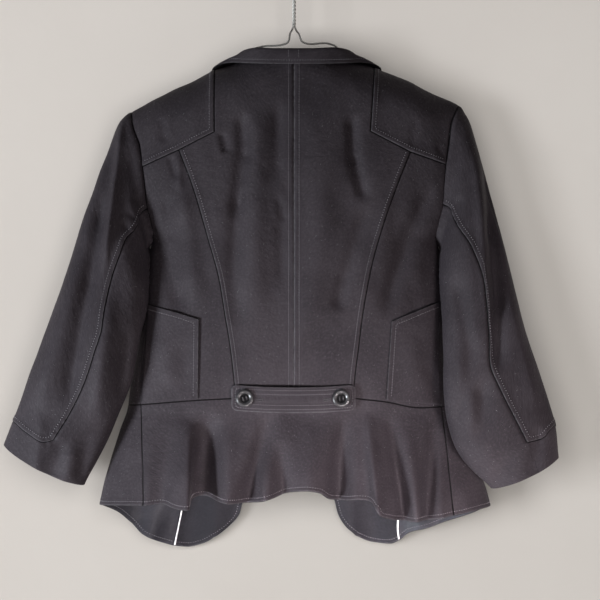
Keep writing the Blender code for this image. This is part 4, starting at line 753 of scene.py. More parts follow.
def body_panels(n=N):
    for side, tag in ((-1, 'left'), (1, 'right')):
        e = E[side]
        ys, li, rw = n['yoke_side'], n['yoke_low_in'], n['rows']
        c0, c1, c2 = e['centre'][:ys + 1], e['centre'][ys:ys + li + 1], e['centre'][ys + li:]
        top = np.concatenate([e['shoulder_inner'], e['neck'][1:]])
        m = len(top) - 1
        level1 = np.linspace(e['yoke_inner'][-1], c0[-1], m + 1)
        level2 = np.linspace(e['yoke_low_in'][-1], c1[-1], m + 1)
        grids = [coons(top, level1, e['yoke_inner'], c0),
                 coons(level1, level2, e['yoke_low_in'], c1),
                 coons(level2, e['waist_in'][::-1], e['princess'], c2)]
        Cloth('back_center_' + tag, [surf(g) for g in grids], from_axis)
        low = np.concatenate([e['yoke_low_in'], e['yoke_low_out'][1:]])[::-1]
        Cloth('yoke_' + tag, [surf(coons(e['shoulder_outer'], low, e['arm_top'], e['yoke_inner']))], from_axis)
        outer = np.concatenate([e['arm_mid'], e['arm_low'][1:], e['side'][1:]])
        Cloth('back_side_' + tag,
              [surf(coons(e['yoke_low_out'][::-1], e['waist_out'][::-1], outer, e['princess']))], from_axis)
        sh = np.concatenate([e['shoulder_outer'], e['shoulder_inner'][1:]])
        sh = np.array([(side * 180 - t, d) for t, d in sh])
        g1 = coons(sh, e['chest'], e['arm_front'], e['roll'])
        g2 = coons(e['chest'], e['waist_front'], e['side'], e['front_edge'])
        Cloth('front_' + tag, [cf_shift(surf(g), side) for g in (g1, g2)], from_axis)


def straight_pipe(g, lean=0.206):
    """Draws the cloth a little sideways so that the piping runs straight down to the hem."""
    down = -g[..., 2]
    pipe, low = g[:, PIPE_COLUMN, 0], down[-1, PIPE_COLUMN]
    wanted = pipe[-1] + lean * (low - down[:, PIPE_COLUMN])
    shift = (wanted - pipe) * np.clip((down[:, PIPE_COLUMN] - 640) / 22, 0, 1)
    g = g.copy()
    g[..., 0] += shift[:, None] * np.exp(-((g[..., 0] - pipe[:, None]) / 22) ** 2)
    return g


def peplum_panels(n=N):
    l, r = E[-1], E[1]
    waist = np.concatenate([l['waist_out'][::-1], l['waist_in'][::-1][1:], r['waist_in'][1:], r['waist_out'][1:]])
    top = halve(waist)
    hem = to_turn(along(HEM, len(top) - 1))
    hem[0], hem[-1] = l['peplum_seam'][-1], r['peplum_seam'][-1]
    Cloth('peplum_back', [straighten(surf(coons(top, hem, l['peplum_seam'], r['peplum_seam'])))], from_axis)
    for side, tag in ((-1, 'left'), (1, 'right')):
        e = E[side]
        top = halve(e['waist_front'])
        pipe = to_turn([pick(PIPING, side)[0]], side, 1)[0]
        turned = pick(FRONT_HEM, side)
        hem_pts = [tuple(e['peplum_seam'][-1])] + [h for h in turned if abs(h[0]) < abs(pipe[0]) - 3] + [tuple(pipe)]
        corner = to_turn(pick(FRONT_EDGE, side)[:1], side, 1)[0]
        rest = [tuple(pipe)] + [h for h in turned if abs(h[0]) > abs(pipe[0]) + 3] + [tuple(corner)]
        m = len(top) - 1
        hem = np.concatenate([along(hem_pts, PIPE_COLUMN), along(rest, m - PIPE_COLUMN)[1:]])
        edge = to_turn(along(pick(FRONT_EDGE, side), n['peplum'])[::-1], side, 1)
        edge[0] = e['waist_front'][-1]
        hem[-1] = edge[-1]
        g = coons(top, hem, e['peplum_seam'], edge)
        g = straighten(cf_shift(surf(g), side))
        if side < 0:
            g = straight_pipe(g)
        e['peplum'] = Cloth('peplum_front_' + tag, [g], from_axis)


# ------------------------------------------------------------ sleeves
def sleeve_frame(rows, t):
    """Outer point, inner point, half thickness and middle at section t (0 to 11)."""
    i = np.arange(len(rows), dtype=float)
    return [smooth_any(i, column(rows, c), t) for c in range(6)]


def smooth_any(xs, ys, x):
    p = np.stack([xs, ys], axis=1)
    x = np.clip(np.asarray(x, float), xs[0], xs[-1])
    m = np.gradient(p[:, 1], xs)
    k = np.clip(np.floor(x).astype(int), 0, len(xs) - 2)
    t = x - xs[k]
    return ((2 * t ** 3 - 3 * t ** 2 + 1) * ys[k] + (t ** 3 - 2 * t ** 2 + t) * m[k]
            + (-2 * t ** 3 + 3 * t ** 2) * ys[k + 1] + (t ** 3 - t ** 2) * m[k + 1])


def ring_of(side):
    """The armhole once round: shoulder tip, back, underarm, front; with a place from 0 to 1 for each sample."""
    e = E[side]
    back = np.concatenate([e['arm_top'], e['arm_mid'][1:], e['arm_low'][1:]])
    front = e['arm_front'][::-1]
    pts = surf(np.concatenate([back, front[1:]]))
    nb = len(back) - 1
    frame = sleeve_frame(SLEEVE_LEFT if side < 0 else SLEEVE_RIGHT, 0.0)
    o, i = np.array([frame[0], -frame[1]]), np.array([frame[2], -frame[3]])
    q = ((pts[:, [0, 2]] - o) @ (i - o)) / np.dot(i - o, i - o)
    q = np.clip(q, 0, 1)
    place = np.arccos(1 - 2 * q) / (2 * math.pi)
    place[nb + 1:] = 1 - place[nb + 1:]
    place[0], place[nb], place[-1] = 0.0, 0.5, 1.0
    return place, pts, nb


def sleeve_surface(side, place, t):
    """Place 0 is the outer edge, a quarter the back, a half the inner edge; t is the section."""
    rows = SLEEVE_LEFT if side < 0 else SLEEVE_RIGHT
    place, t = np.asarray(place, float) % 1.0, np.asarray(t, float)
    ox, od, ix, idn, thick, mid = sleeve_frame(rows, t)
    c = np.cos(2 * math.pi * place)
    s = np.sin(2 * math.pi * place)
    bulge = np.sign(s) * np.abs(s) ** 0.85
    x = (ox + ix) / 2 + (ox - ix) / 2 * c
    down = (od + idn) / 2 + (od - idn) / 2 * c
    folds = [f[1:] for f in SLEEVE_FOLDS if f[0] == side]
    lift = fold_height(folds, x, down, False)
    for x1, d1, x2, d2, wide, lean in SLEEVE_ROLLS.get(side, []):
        at = np.clip((down - d1) / (d2 - d1), 0, 1)
        x = x + np.where(s > 0, lean * lift * np.exp(-((x - x1 - (x2 - x1) * at) / wide) ** 2), 0.0)
    low = np.clip((t - 8.5) / 2.5, 0, 1)
    down = down + CUFF_DROP[0 if side < 0 else 1] * np.abs(s) ** 1.4 * low * low
    y = mid - thick * bulge - np.where(s > 0, lift * np.clip(s * 1.6, 0, 1), 0)
    oval = np.stack([x, y, -down], axis=-1)
    rp, rpts, nb = ring_of(side)
    base = np.stack([np.interp(place, rp, rpts[:, k]) for k in range(3)], axis=-1)
    o0 = sleeve_frame(rows, 0.0)
    x0 = (o0[0] + o0[2]) / 2 + (o0[0] - o0[2]) / 2 * c
    d0 = (o0[1] + o0[3]) / 2 + (o0[1] - o0[3]) / 2 * c
    y0 = o0[5] - o0[4] * bulge
    fix = base - np.stack([x0, y0, -d0], axis=-1)
    w = np.clip(1 - t / 3.2, 0, 1)[..., None]
    w = w * w * (3 - 2 * w)
    return oval + fix * w


def sleeve_place(side, points):
    """(x, down) seen on the sleeve's back to (place, t)."""
    pl = np.linspace(0.02, 0.48, 93)
    tt = np.linspace(0, 11, 221)
    gp, gt = np.meshgrid(pl, tt)
    s = sleeve_surface(side, gp, gt)
    out = []
    for x, d in points:
        k = np.argmin((s[..., 0] - x) ** 2 + (s[..., 2] + d) ** 2)
        i, j = divmod(int(k), len(pl))
        out.append((pl[j], tt[i]))
    return np.array(out)


def sleeve_panels(n=N):
    for side, tag in ((-1, 'left'), (1, 'right')):
        rp, rpts, nb = ring_of(side)
        ib = n['yoke_side'] + n['arm_mid']                 # ring sample at the back seam
        jf = nb + n['arm_low']                             # ring sample at the front seam
        seam_pts = sleeve_place(side, SLEEVE_SEAM_LEFT if side < 0 else SLEEVE_SEAM_RIGHT)
        seam = along([(rp[ib], 0.0)] + [tuple(s) for s in seam_pts], n['sleeve'])
        hem_pts = sleeve_place(side, pick(SLEEVE_HEM, side))
        hem_pts[0] = seam[-1]
        front_place = rp[jf]
        t_front = 9.6
        n_up_back = ib
        n_up_front = len(rp) - 1 - jf
        back_hem = along([tuple(h) for h in hem_pts] + [(0.0, 10.0)], n_up_back)
        back_hem[-1] = (0.0, 10.0)
        front_hem = along([(0.0, 10.0), (-0.14, 9.9), (front_place - 1, t_front)], n_up_front)
        hem = np.concatenate([front_hem[::-1], back_hem[::-1][1:]])
        ring_up = np.array([(p - 1, 0.0) for p in rp[jf:]] + [(p, 0.0) for p in rp[1:ib + 1]])
        front_line = along([(front_place - 1, 0.0), (front_place - 1, t_front)], n['sleeve'])
        g = coons(ring_up, hem, front_line, seam)
        pts = sleeve_surface(side, g[..., 0], g[..., 1])
        pts[0] = np.concatenate([rpts[jf:], rpts[1:ib + 1]])
        axis = sleeve_axis(side)
        Cloth('sleeve_%s_upper' % tag, [pts], axis, inset=0.02)
        # under sleeve, its lower end and the cuff band under the upper sleeve
        ring_low = np.array([(p, 0.0) for p in rp[ib:jf + 1]])
        line_f = along([(front_place, 0.0), (front_place, t_front)], n['sleeve'])
        cross = np.linspace(tuple(seam[-1]), (front_place, t_front), len(ring_low))
        g1 = coons(ring_low, cross, seam, line_f)
        p1 = sleeve_surface(side, g1[..., 0], g1[..., 1])
        p1[0] = rpts[ib:jf + 1]
        end_b = (seam[-1][0], 11.0)
        g2 = coons(cross, np.linspace(end_b, (front_place, 11.0), len(cross)),
                   along([tuple(seam[-1]), end_b], n['cuff']),
                   along([(front_place, t_front), (front_place, 11.0)], n['cuff']))
        p2 = sleeve_surface(side, g2[..., 0], g2[..., 1])
        bottom = np.array([(h[0], 11.0) for h in hem])
        bottom[-1] = end_b
        g3 = coons(hem, bottom, along([(front_place - 1, t_front), (front_place - 1, 11.0)], n['cuff']),
                   along([tuple(seam[-1]), end_b], n['cuff']))
        p3 = sleeve_surface(side, g3[..., 0], g3[..., 1])
        # the band's own end stays open at the front seam
        p3[:, 0] += (p3[:, 1] - p3[:, 0]) * 0.03
        Cloth('sleeve_%s_under' % tag, [p1, p2, p3], axis, inset=0.02)


def sleeve_axis(side):
    rows = SLEEVE_LEFT if side < 0 else SLEEVE_RIGHT
    xs = (column(rows, 0) + column(rows, 2)) / 2
    ds = (column(rows, 1) + column(rows, 3)) / 2
    ys = column(rows, 5)

    def axis(mid):
        d = -mid[:, 2]
        return np.stack([np.interp(d, ds, xs), np.interp(d, ds, ys), mid[:, 2]], axis=1)
    return axis


# ------------------------------------------------------------ collar and lapels
def round_over(strip, n=30):
    """One smooth curve through a strip, evenly spaced."""
    q = along([tuple(k) for k in strip], 160)
    c = np.concatenate([[0], np.cumsum(np.linalg.norm(np.diff(q, axis=0), axis=1))])
    s = np.linspace(0, c[-1], n + 1)
    return np.stack([np.interp(s, c, q[:, i]) for i in range(3)], axis=-1)


def collar_half(side, n_half=84, n_stand=2, n_fall=4):
    """Strips from the centre back to the front end: up the stand, over the fold, down the fall."""
    start = float(shoulder(side * 66.0))
    neck = [(66.0 * math.sin(a), 137.5 - (137.5 - start) * (1 - math.cos(a))) for a in np.linspace(0, math.pi / 2, 7)]
    back = [surf(to_turn([(side * x, d)], 1, -1))[0] for x, d in neck[:-1]]
    front = [surf(to_turn([(side * x, d)], side, 1))[0] for x, d in along(COLLAR_NECK, 5)]
    base = along([tuple(q) for q in back + front], n_half)
    lean = [COLLAR_LEAN * min(1.0, i / 3.0) if side > 0 else 0.0 for i in range(len(COLLAR))]
    fold = along([(side * (r[0] + k), r[1], -r[2]) for r, k in zip(COLLAR, lean)], n_half)
    edge_pts = []
    for r, k in zip(COLLAR, lean):
        face = int(r[5])
        q = surf(to_turn([(side * (r[3] + k), r[4])], side, face))[0]
        edge_pts.append((side * (r[3] + k), (q[1] if abs(q[1]) > 1 else 0.0) + face * (WALL + r[6]), -r[4]))
    edge = along(edge_pts, n_half)
    rows = []
    for k in range(n_half + 1):
        b, f, g = base[k].copy(), fold[k], edge[k]
        out = g - b
        out[2] = 0
        out = out / max(np.linalg.norm(out), 1e-6)
        ahead = min(1.0, max(0.0, (b[1] + 4) / 14))
        b = b + np.array([0, 2.4 * ahead, 2.2 - 1.0 * ahead]) - out * (0.9 + 3.2 * ahead)
        strip = [b + (f - out * 2.6 - b) * t for t in np.linspace(0, 1, n_stand + 1)[:-1]]
        strip += [f - out * 2.4 + np.array([0, 0, -0.6]), f - out * 1.0 + np.array([0, 0, 1.0]),
                  f + out * 1.2 + np.array([0, 0, 0.4])]
        first = f + out * 2.4 + np.array([0, 0, -1.6])
        bow = np.array([0, 0, 1.0]) * 1.5 + out * 1.0
        for t in np.linspace(0, 1, n_fall + 1):
            strip.append(first + (g - first) * t + bow * math.sin(math.pi * t))
        for i in range(n_stand + 3, len(strip)):
            x, y, z = strip[i]
            top = float(shoulder(x))
            face = 1 if y > 0 else -1
            if abs(y) < 9 and -z > top - 3.4:
                strip[i][2] = max(strip[i][2], -(top - 3.4))
                continue
            deep = abs(surf(to_turn([(x, -z)], side, face))[0][1])
            if -z > top - 1 and abs(y) < deep + WALL + 1.2:
                strip[i][1] = face * (deep + WALL + 1.2)
        rows.append(round_over(strip))
    return np.array(rows)


def collar_panel():
    left, right = collar_half(-1), collar_half(1)
    left[0] = right[0] = (left[0] + right[0]) / 2
    g = np.concatenate([left[::-1], right[1:]])
    for _ in range(3):
        g[1:-1, :] = (g[:-2, :] + 2 * g[1:-1, :] + g[2:, :]) / 4
    return g


def collar_build():
    g = collar_panel()
    # the grid runs stand, fold, fall; its outer face is the fall's outer side
    Cloth('collar', [g], lambda m: np.stack([m[:, 0] * 0, m[:, 1] * 0, m[:, 2] - 40], axis=1), wall=WALL,
          sewn=False, inset=0.0)


def lapel_build():
    for side, tag in ((-1, 'left'), (1, 'right')):
        rows = LAPEL if side > 0 else LAPEL[:-1] + [LAPEL_UNDER_END]
        roll = to_turn(along([(side * r[0], r[1]) for r in rows], 56), side, 1)
        edge = to_turn(along([(side * r[2], r[3]) for r in rows], 56), side, 1)
        top = np.linspace(roll[0], edge[0], 25)
        low = np.linspace(roll[-1], edge[-1], 25)
        g = coons(top, low, roll, edge)
        p = cf_shift(surf(g, LIFT + PATCH_WALL + 0.6), side)
        u = np.linspace(0, 1, p.shape[1])[None, :]
        p[..., 1] += 1.6 * (1 - u) ** 2
        Cloth('lapel_' + tag, [p], from_axis, wall=PATCH_WALL, sewn=False, inset=0.1)


# ------------------------------------------------------------ pieces that lie on a panel
def overlays(n=N):
    for side, tag in ((-1, 'left'), (1, 'right')):
        c = pick(PATCH, side)
        a, b, d, f = (to_turn([k])[0] for k in c)
        top = to_turn(along([c[0], c[1]], 30))
        low = to_turn(along([c[3], c[2]], 30))
        left = along([tuple(a), tuple(f)], 40)
        right = to_turn(along([c[1], c[2]], 40))
        left[0], left[-1], top[0], low[0] = a, f, a, f
        Cloth('patch_' + tag, [surf(coons(top, low, left, right), PATCH_LIFT + PATCH_WALL)], from_axis,
              wall=PATCH_WALL, sewn=False, inset=0.0)
    # facing, piping and lining inside the front peplums, made from the panel's own points
    for side, tag in ((-1, 'left'), (1, 'right')):
        c = E[side]['peplum']
        ids = c.ids[0]
        p, nrm = c.p[ids], c.n[ids]
        m, last = ids.shape[1] - 1, ids.shape[0] - 1

        def inside(rows, cols, lift):
            out = []
            for i in rows:
                i0 = min(int(i), last - 1)
                line = []
                for k in cols:
                    k0 = min(int(k), m - 1)
                    q = [(1 - (i - i0)) * ((1 - (k - k0)) * a[i0, k0] + (k - k0) * a[i0, k0 + 1])
                         + (i - i0) * ((1 - (k - k0)) * a[i0 + 1, k0] + (k - k0) * a[i0 + 1, k0 + 1])
                         for a in (p, nrm)]
                    line.append(q[0] - q[1] / np.linalg.norm(q[1]) * (WALL + lift))
                out.append(line)
            return np.array(out)
        rows = list(range(3, last)) + [last - 0.6]
        cols = [0.8] + list(range(1, PIPE_COLUMN)) + [PIPE_COLUMN - 0.35]
        Cloth('lining_' + tag, [inside(rows, cols, 0.5)], from_axis, wall=LINING_WALL, sewn=False, inset=0.0,
              shade='lining')
        cols = [PIPE_COLUMN + 0.4] + list(range(PIPE_COLUMN + 1, m)) + [m - 0.7]
        Cloth('facing_' + tag, [inside(rows, cols, 0.7)], from_axis, wall=LINING_WALL, sewn=False, inset=0.0)
        E[side]['piping'] = inside(rows, [PIPE_COLUMN], 0.55 + PIPE_R)[:, 0]


def tab_surface(u, v, out=0.0):
    """u across the tab from -1 to 1, v down it from 0 to 1."""
    x = u * TAB_HALF - 0.6
    sag = 3.2 * (1 - u ** 2)
    down = 523.0 + sag + v * TAB_HEIGHT
    q = np.stack([x, down], axis=-1)
    flat = q.reshape(-1, 2)
    base = surf(to_turn([tuple(k) for k in flat])).reshape(q.shape[:-1] + (3,))
    proud = TAB_STAND + 1.8 * (1 - u ** 2) + out
    ymin = -(41.0 * np.sqrt(np.clip(1 - (np.abs(x) / 195) ** SIDE_POWER, 0, 1)))
    base[..., 1] = ymin - proud - WALL * 0.4
    return base


def tab_build():
    corner = 6.5
    inner = 1 - corner / TAB_HALF
    bend = 1 - corner / TAB_HALF * (1 - np.sin(np.linspace(0, math.pi / 2, 9)[::-1]))
    us = np.concatenate([-bend, np.linspace(-inner, inner, 62)[1:-1], bend[::-1]])
    rows = []
    for u in us:
        d = (1 - abs(u)) * TAB_HALF
        cut = corner - math.sqrt(max(0.0, corner ** 2 - (corner - min(d, corner)) ** 2))
        f = cut / TAB_HEIGHT
        rows.append([tab_surface(np.array(u), np.array(v)) for v in f + (1 - 2 * f) * ramp(16, 0.6)])
    Cloth('belt_tab', [np.array(rows)], from_axis, wall=2.2, sewn=False, inset=0.0)


# ------------------------------------------------------------ seams, laps and puckers
def sheet_named(name):
    return next(c for c in Cloth.every if c.name == name)


def rim(c, grid, edge):
    """Vertex numbers along one edge of one of a sheet's grids."""
    ids = c.ids[grid]
    return {'left': ids[:, 0], 'right': ids[:, -1], 'top': ids[0], 'bottom': ids[-1]}[edge]


def chain(*parts):
    """Edges joined end to end, without the repeats."""
    out = []
    for part in parts:
        for v in part:
            if not out or out[-1] != int(v):
                out.append(int(v))
    return np.array(out)


def step(t):
    t = np.clip(t, 0, 1)
    return t * t * (3 - 2 * t)


def near(line, pts):
    """Distance from each point to a line of points, and how far along that line it lies."""
    a, ab = line[:-1], np.diff(line, axis=0)
    ln = np.maximum(np.linalg.norm(ab, axis=1), 1e-6)
    arc = np.concatenate([[0], np.cumsum(ln)])
    best, place = np.full(len(pts), 1e9), np.zeros(len(pts))
    for k in range(len(a)):
        t = np.clip(((pts - a[k]) @ ab[k]) / ln[k] ** 2, 0, 1)
        d = np.linalg.norm(pts - (a[k] + t[:, None] * ab[k]), axis=1)
        m = d < best
        best[m], place[m] = d[m], arc[k] + t[m] * ln[k]
    return best, place


def pucker(d, s, size, reach=8.0):
    """Small uneven gathers that a row of stitches draws up beside a seam."""
    wave = np.sin(s * 0.66 + 1.3 * np.sin(s * 0.071)) + 0.7 * np.sin(s * 1.07 + 2.0 * np.sin(s * 0.05) + 1.1) \
        + 0.5 * np.sin(s * 0.33 + 0.4)
    drift = 0.55 + 0.45 * np.sin(s * 0.043 + 0.9)
    return size * wave * drift * np.exp(-(d / reach) ** 2)


def lap(c, ids, lip, row=4.8, band=6.6, gather=0.10, deep=0.35):
    """The sheet's edge lies on its neighbour over a turned-in allowance and is stitched down. Painted shade goes along
    the edge and along the stitch row; deep weakens the edge's painted shade.
    """
    d, s = near(c.p[ids], c.p)
    c.lift += lip * (1 - step((d - band + 1.6) / 3.2)) * (0.55 + 0.45 * step(d / 1.2))
    if row:
        c.lift -= 0.42 * np.exp(-((d - row) / 1.0) ** 2)
        c.dent = np.minimum(c.dent, np.abs(d - row) + 0.55)
    c.lift += pucker(d, s, gather)
    c.own = np.minimum(c.own, d)
    c.dent = np.minimum(c.dent, d + deep)


def join(c, line, gather=0.10, sink=0.28):
    """The sheet's edge goes under its neighbour, or meets it in a plain seam; painted shade is laid along the line."""
    d, s = near(line, c.p)
    c.lift += pucker(d, s, gather) - sink * np.exp(-(d / 1.7) ** 2)
    c.dent = np.minimum(c.dent, d)


WAVES = [  # per mm across, per mm down, phase, height in mm: soft unevenness all over
    (0.071, 0.011, 0.3, 0.42), (0.113, -0.017, 1.9, 0.26), (0.046, 0.029, 4.1, 0.38), (0.158, 0.024, 2.6, 0.15),
    (0.032, -0.046, 0.9, 0.30), (0.205, -0.041, 5.2, 0.085), (0.092, 0.063, 3.3, 0.14), (0.261, 0.037, 1.2, 0.05),
    (0.018, 0.088, 2.2, 0.12), (0.137, 0.102, 5.9, 0.06),
]


def uneven(p, size=1.0):
    x, y, z = p[:, 0] + 0.6 * p[:, 1], p[:, 1], p[:, 2]
    h = np.zeros(len(p))
    for kx, kz, ph, a in WAVES:
        h += a * np.sin(kx * x + kz * z + ph + 0.9 * np.sin(0.013 * z + 0.021 * x + ph))
    return h * size


def dress():
    """Builds every sheet and lays its seams in."""
    body_panels()
    peplum_panels()
    sleeve_panels()
    share_seams()
    collar_build()
    lapel_build()
    overlays()
    tab_build()
    for c in Cloth.every:
        if c.name != 'belt_tab':
            c.lift += uneven(c.p, 0.35 if c.name in ('collar', 'patch_left', 'patch_right') else 1.0)
    for side, tag in ((-1, 'left'), (1, 'right')):
        bc, bs, yk = (sheet_named(n + tag) for n in ('back_center_', 'back_side_', 'yoke_'))
        fr, pf, pb = sheet_named('front_' + tag), sheet_named('peplum_front_' + tag), sheet_named('peplum_back')
        up, un = sheet_named('sleeve_%s_upper' % tag), sheet_named('sleeve_%s_under' % tag)
        yoke_line = chain(rim(yk, 0, 'right'), rim(yk, 0, 'bottom')[::-1])
        lap(yk, yoke_line, 0.95, row=5.2, gather=0.14)
        yoke_pts = yk.p[yoke_line]
        join(bc, yoke_pts)
        join(bs, yoke_pts)
        lap(bc, rim(bc, 2, 'left'), 0.62, row=4.8, gather=0.14)
        join(bs, bc.p[rim(bc, 2, 'left')])
        cb = chain(rim(bc, 0, 'right'), rim(bc, 1, 'right'), rim(bc, 2, 'right'))
        lap(bc, cb, 0.07, row=6.3, band=8.2, gather=0.10, deep=0.98)
        waist = np.concatenate([bs.p[rim(bs, 0, 'bottom')], bc.p[rim(bc, 2, 'bottom')][1:]])
        for c in (bc, bs, pb):
            join(c, waist, 0.12)
        hem = rim(pb, 0, 'bottom')
        if side > 0:
            lap(pb, hem, 0.42, row=4.8, band=7.2, gather=0.14)
        join(pb, pf.p[rim(pf, 0, 'left')], 0.08)
        join(pf, pf.p[rim(pf, 0, 'left')], 0.08)
        lap(pf, chain(rim(pf, 0, 'bottom'), rim(pf, 0, 'right')[::-1]), 0.42, row=4.8, band=7.2, gather=0.12)
        join(fr, fr.p[rim(fr, 1, 'bottom')], 0.1)
        join(pf, fr.p[rim(fr, 1, 'bottom')], 0.1)
        lap(fr, rim(fr, 1, 'right'), 0.3, row=6.0, band=8.0)
        arm = np.concatenate([yk.p[rim(yk, 0, 'left')], bs.p[rim(bs, 0, 'left')][1:N['arm_mid'] + N['arm_low'] + 1]])
        for c in (yk, bs):
            join(c, arm, 0.10, 0.55)
        join(fr, fr.p[rim(fr, 0, 'left')], 0.10, 0.55)
        ring = chain(rim(up, 0, 'top'))
        for c, line in ((up, up.p[ring]), (un, un.p[rim(un, 0, 'top')])):
            d, s = near(line, c.p)
            c.lift += 1.15 * np.exp(-((d - 4.0) / 5.0) ** 2) - 0.5 * np.exp(-(d / 1.4) ** 2) + pucker(d, s, 0.2, 9.0)
            # painted shade along the armhole seam
            c.dent = np.minimum(c.dent, d)
        back_seam = chain(rim(up, 0, 'right'), rim(up, 0, 'bottom')[::-1][:N['yoke_side'] + N['arm_mid'] + 1])
        lap(up, back_seam, 0.85, row=5.2, gather=0.3)
        join(un, up.p[back_seam], 0.25)
        front_seam = up.p[rim(up, 0, 'left')]
        join(up, front_seam, 0.08)
        join(un, front_seam, 0.08)
        pt = sheet_named('patch_' + tag)
        lap(pt, chain(rim(pt, 0, 'top'), rim(pt, 0, 'right')), 0.30, row=5.8, band=8.0)
        for n in ('facing_', 'lining_'):
            k = sheet_named(n + tag)
            d, s = near(k.p[rim(k, 0, 'bottom')], k.p)
            k.lift += pucker(d, s, 0.12)
            k.own = np.minimum(k.own, d)
        lp = sheet_named('lapel_' + tag)
        lap(lp, chain(rim(lp, 0, 'top'), rim(lp, 0, 'right')), 0.2, row=4.8)
    co = sheet_named('collar')
    edge = rim(co, 0, 'right')
    lap(co, edge, 0.30, row=4.8, band=7.0, gather=0.10)
    tab = sheet_named('belt_tab')
    border = chain(rim(tab, 0, 'left'), rim(tab, 0, 'bottom'), rim(tab, 0, 'right')[::-1], rim(tab, 0, 'top')[::-1])
    d, s = near(tab.p[border], tab.p)
    tab.lift += 0.45 * np.exp(-((d - 6.6) / 1.5) ** 2) + 0.35 * step((d - 10) / 3.0) - 0.5 * (1 - step(d / 1.6)) \
        + pucker(d, s, 0.06)
    tab.own = d
    # two stitch rows, each a dip with painted shade along it
    for row in (4.0, 9.0):
        tab.lift -= 0.3 * np.exp(-((d - row) / 0.9) ** 2)
        tab.dent = np.minimum(tab.dent, np.abs(d - row) + 0.55)


def lean_on(c, others, gap=0.7, reach=6.5):
    """Where a sleeve hangs almost against the body, its cloth is let down onto it."""
    trees = [BVHTree.FromPolygons([Vector(k) for k in o.p + o.n * o.lift[:, None]], [[int(i) for i in t] for t in o.tris])
             for o in others]
    p = c.p + c.n * c.lift[:, None]
    for i in range(len(p)):
        hits = [h for h in (t.find_nearest(Vector(p[i]), reach + 1.0) for t in trees) if h[0] is not None]
        if not hits:
            continue
        h = min(hits, key=lambda k: k[3])
        if gap < h[3] < reach:
            toward = (np.array(h[0]) - p[i]) / h[3]
            c.p[i] += toward * (h[3] - gap) * (1 - step((h[3] - 3.4) / (reach - 3.4)))


dress()
for tag in ('left', 'right'):
    lean_on(sheet_named('sleeve_%s_under' % tag), [sheet_named('back_side_' + tag), sheet_named('front_' + tag)])


# ------------------------------------------------------------ materials
def nodes_of(m):
    t = m.node_tree
    return t, t.nodes, t.links, next(k for k in t.nodes if k.type == 'BSDF_PRINCIPLED')


def new_material(name, rough, metal=0.0, **sockets):
    m = bpy.data.materials.new(name)
    m.use_nodes = True
    b = next(k for k in m.node_tree.nodes if k.type == 'BSDF_PRINCIPLED')
    b.inputs['Roughness'].default_value = rough
    b.inputs['Metallic'].default_value = metal
    for k, v in sockets.items():
        b.inputs[k.replace('_', ' ')].default_value = v
    return m


def node(t, kind, **props):
    n = t.nodes.new(kind)
    for k, v in props.items():
        setattr(n, k, v)
    return n


def mix_colour(t, a, b, factor):
    """Mixes two colours or colour sockets by a factor socket."""
    n = node(t, 'ShaderNodeMix', data_type='RGBA')
    t.links.new(factor, n.inputs['Factor'])
    for sock, v in ((n.inputs[6], a), (n.inputs[7], b)):
        if isinstance(v, tuple):
            sock.default_value = v
        else:
            t.links.new(v, sock)
    return n.outputs[2]


def spread_of(t, value, lo, hi, out_lo, out_hi):
    n = node(t, 'ShaderNodeMapRange', interpolation_type='SMOOTHSTEP')
    t.links.new(value, n.inputs['Value'])
    for k, v in (('From Min', lo), ('From Max', hi), ('To Min', out_lo), ('To Max', out_hi)):
        n.inputs[k].default_value = v
    return n.outputs['Result']


def noise(t, coord, scale, detail=3.0, rough=0.55):
    n = node(t, 'ShaderNodeTexNoise')
    n.inputs['Scale'].default_value = scale
    n.inputs['Detail'].default_value = detail
    n.inputs['Roughness'].default_value = rough
    t.links.new(coord, n.inputs['Vector'])
    return n.outputs['Fac']


def bump(t, height, depth, strength, under=None):
    n = node(t, 'ShaderNodeBump')
    n.inputs['Strength'].default_value = strength
    n.inputs['Distance'].default_value = depth
    t.links.new(height, n.inputs['Height'])
    if under is not None:
        t.links.new(under, n.inputs['Normal'])
    return n.outputs['Normal']


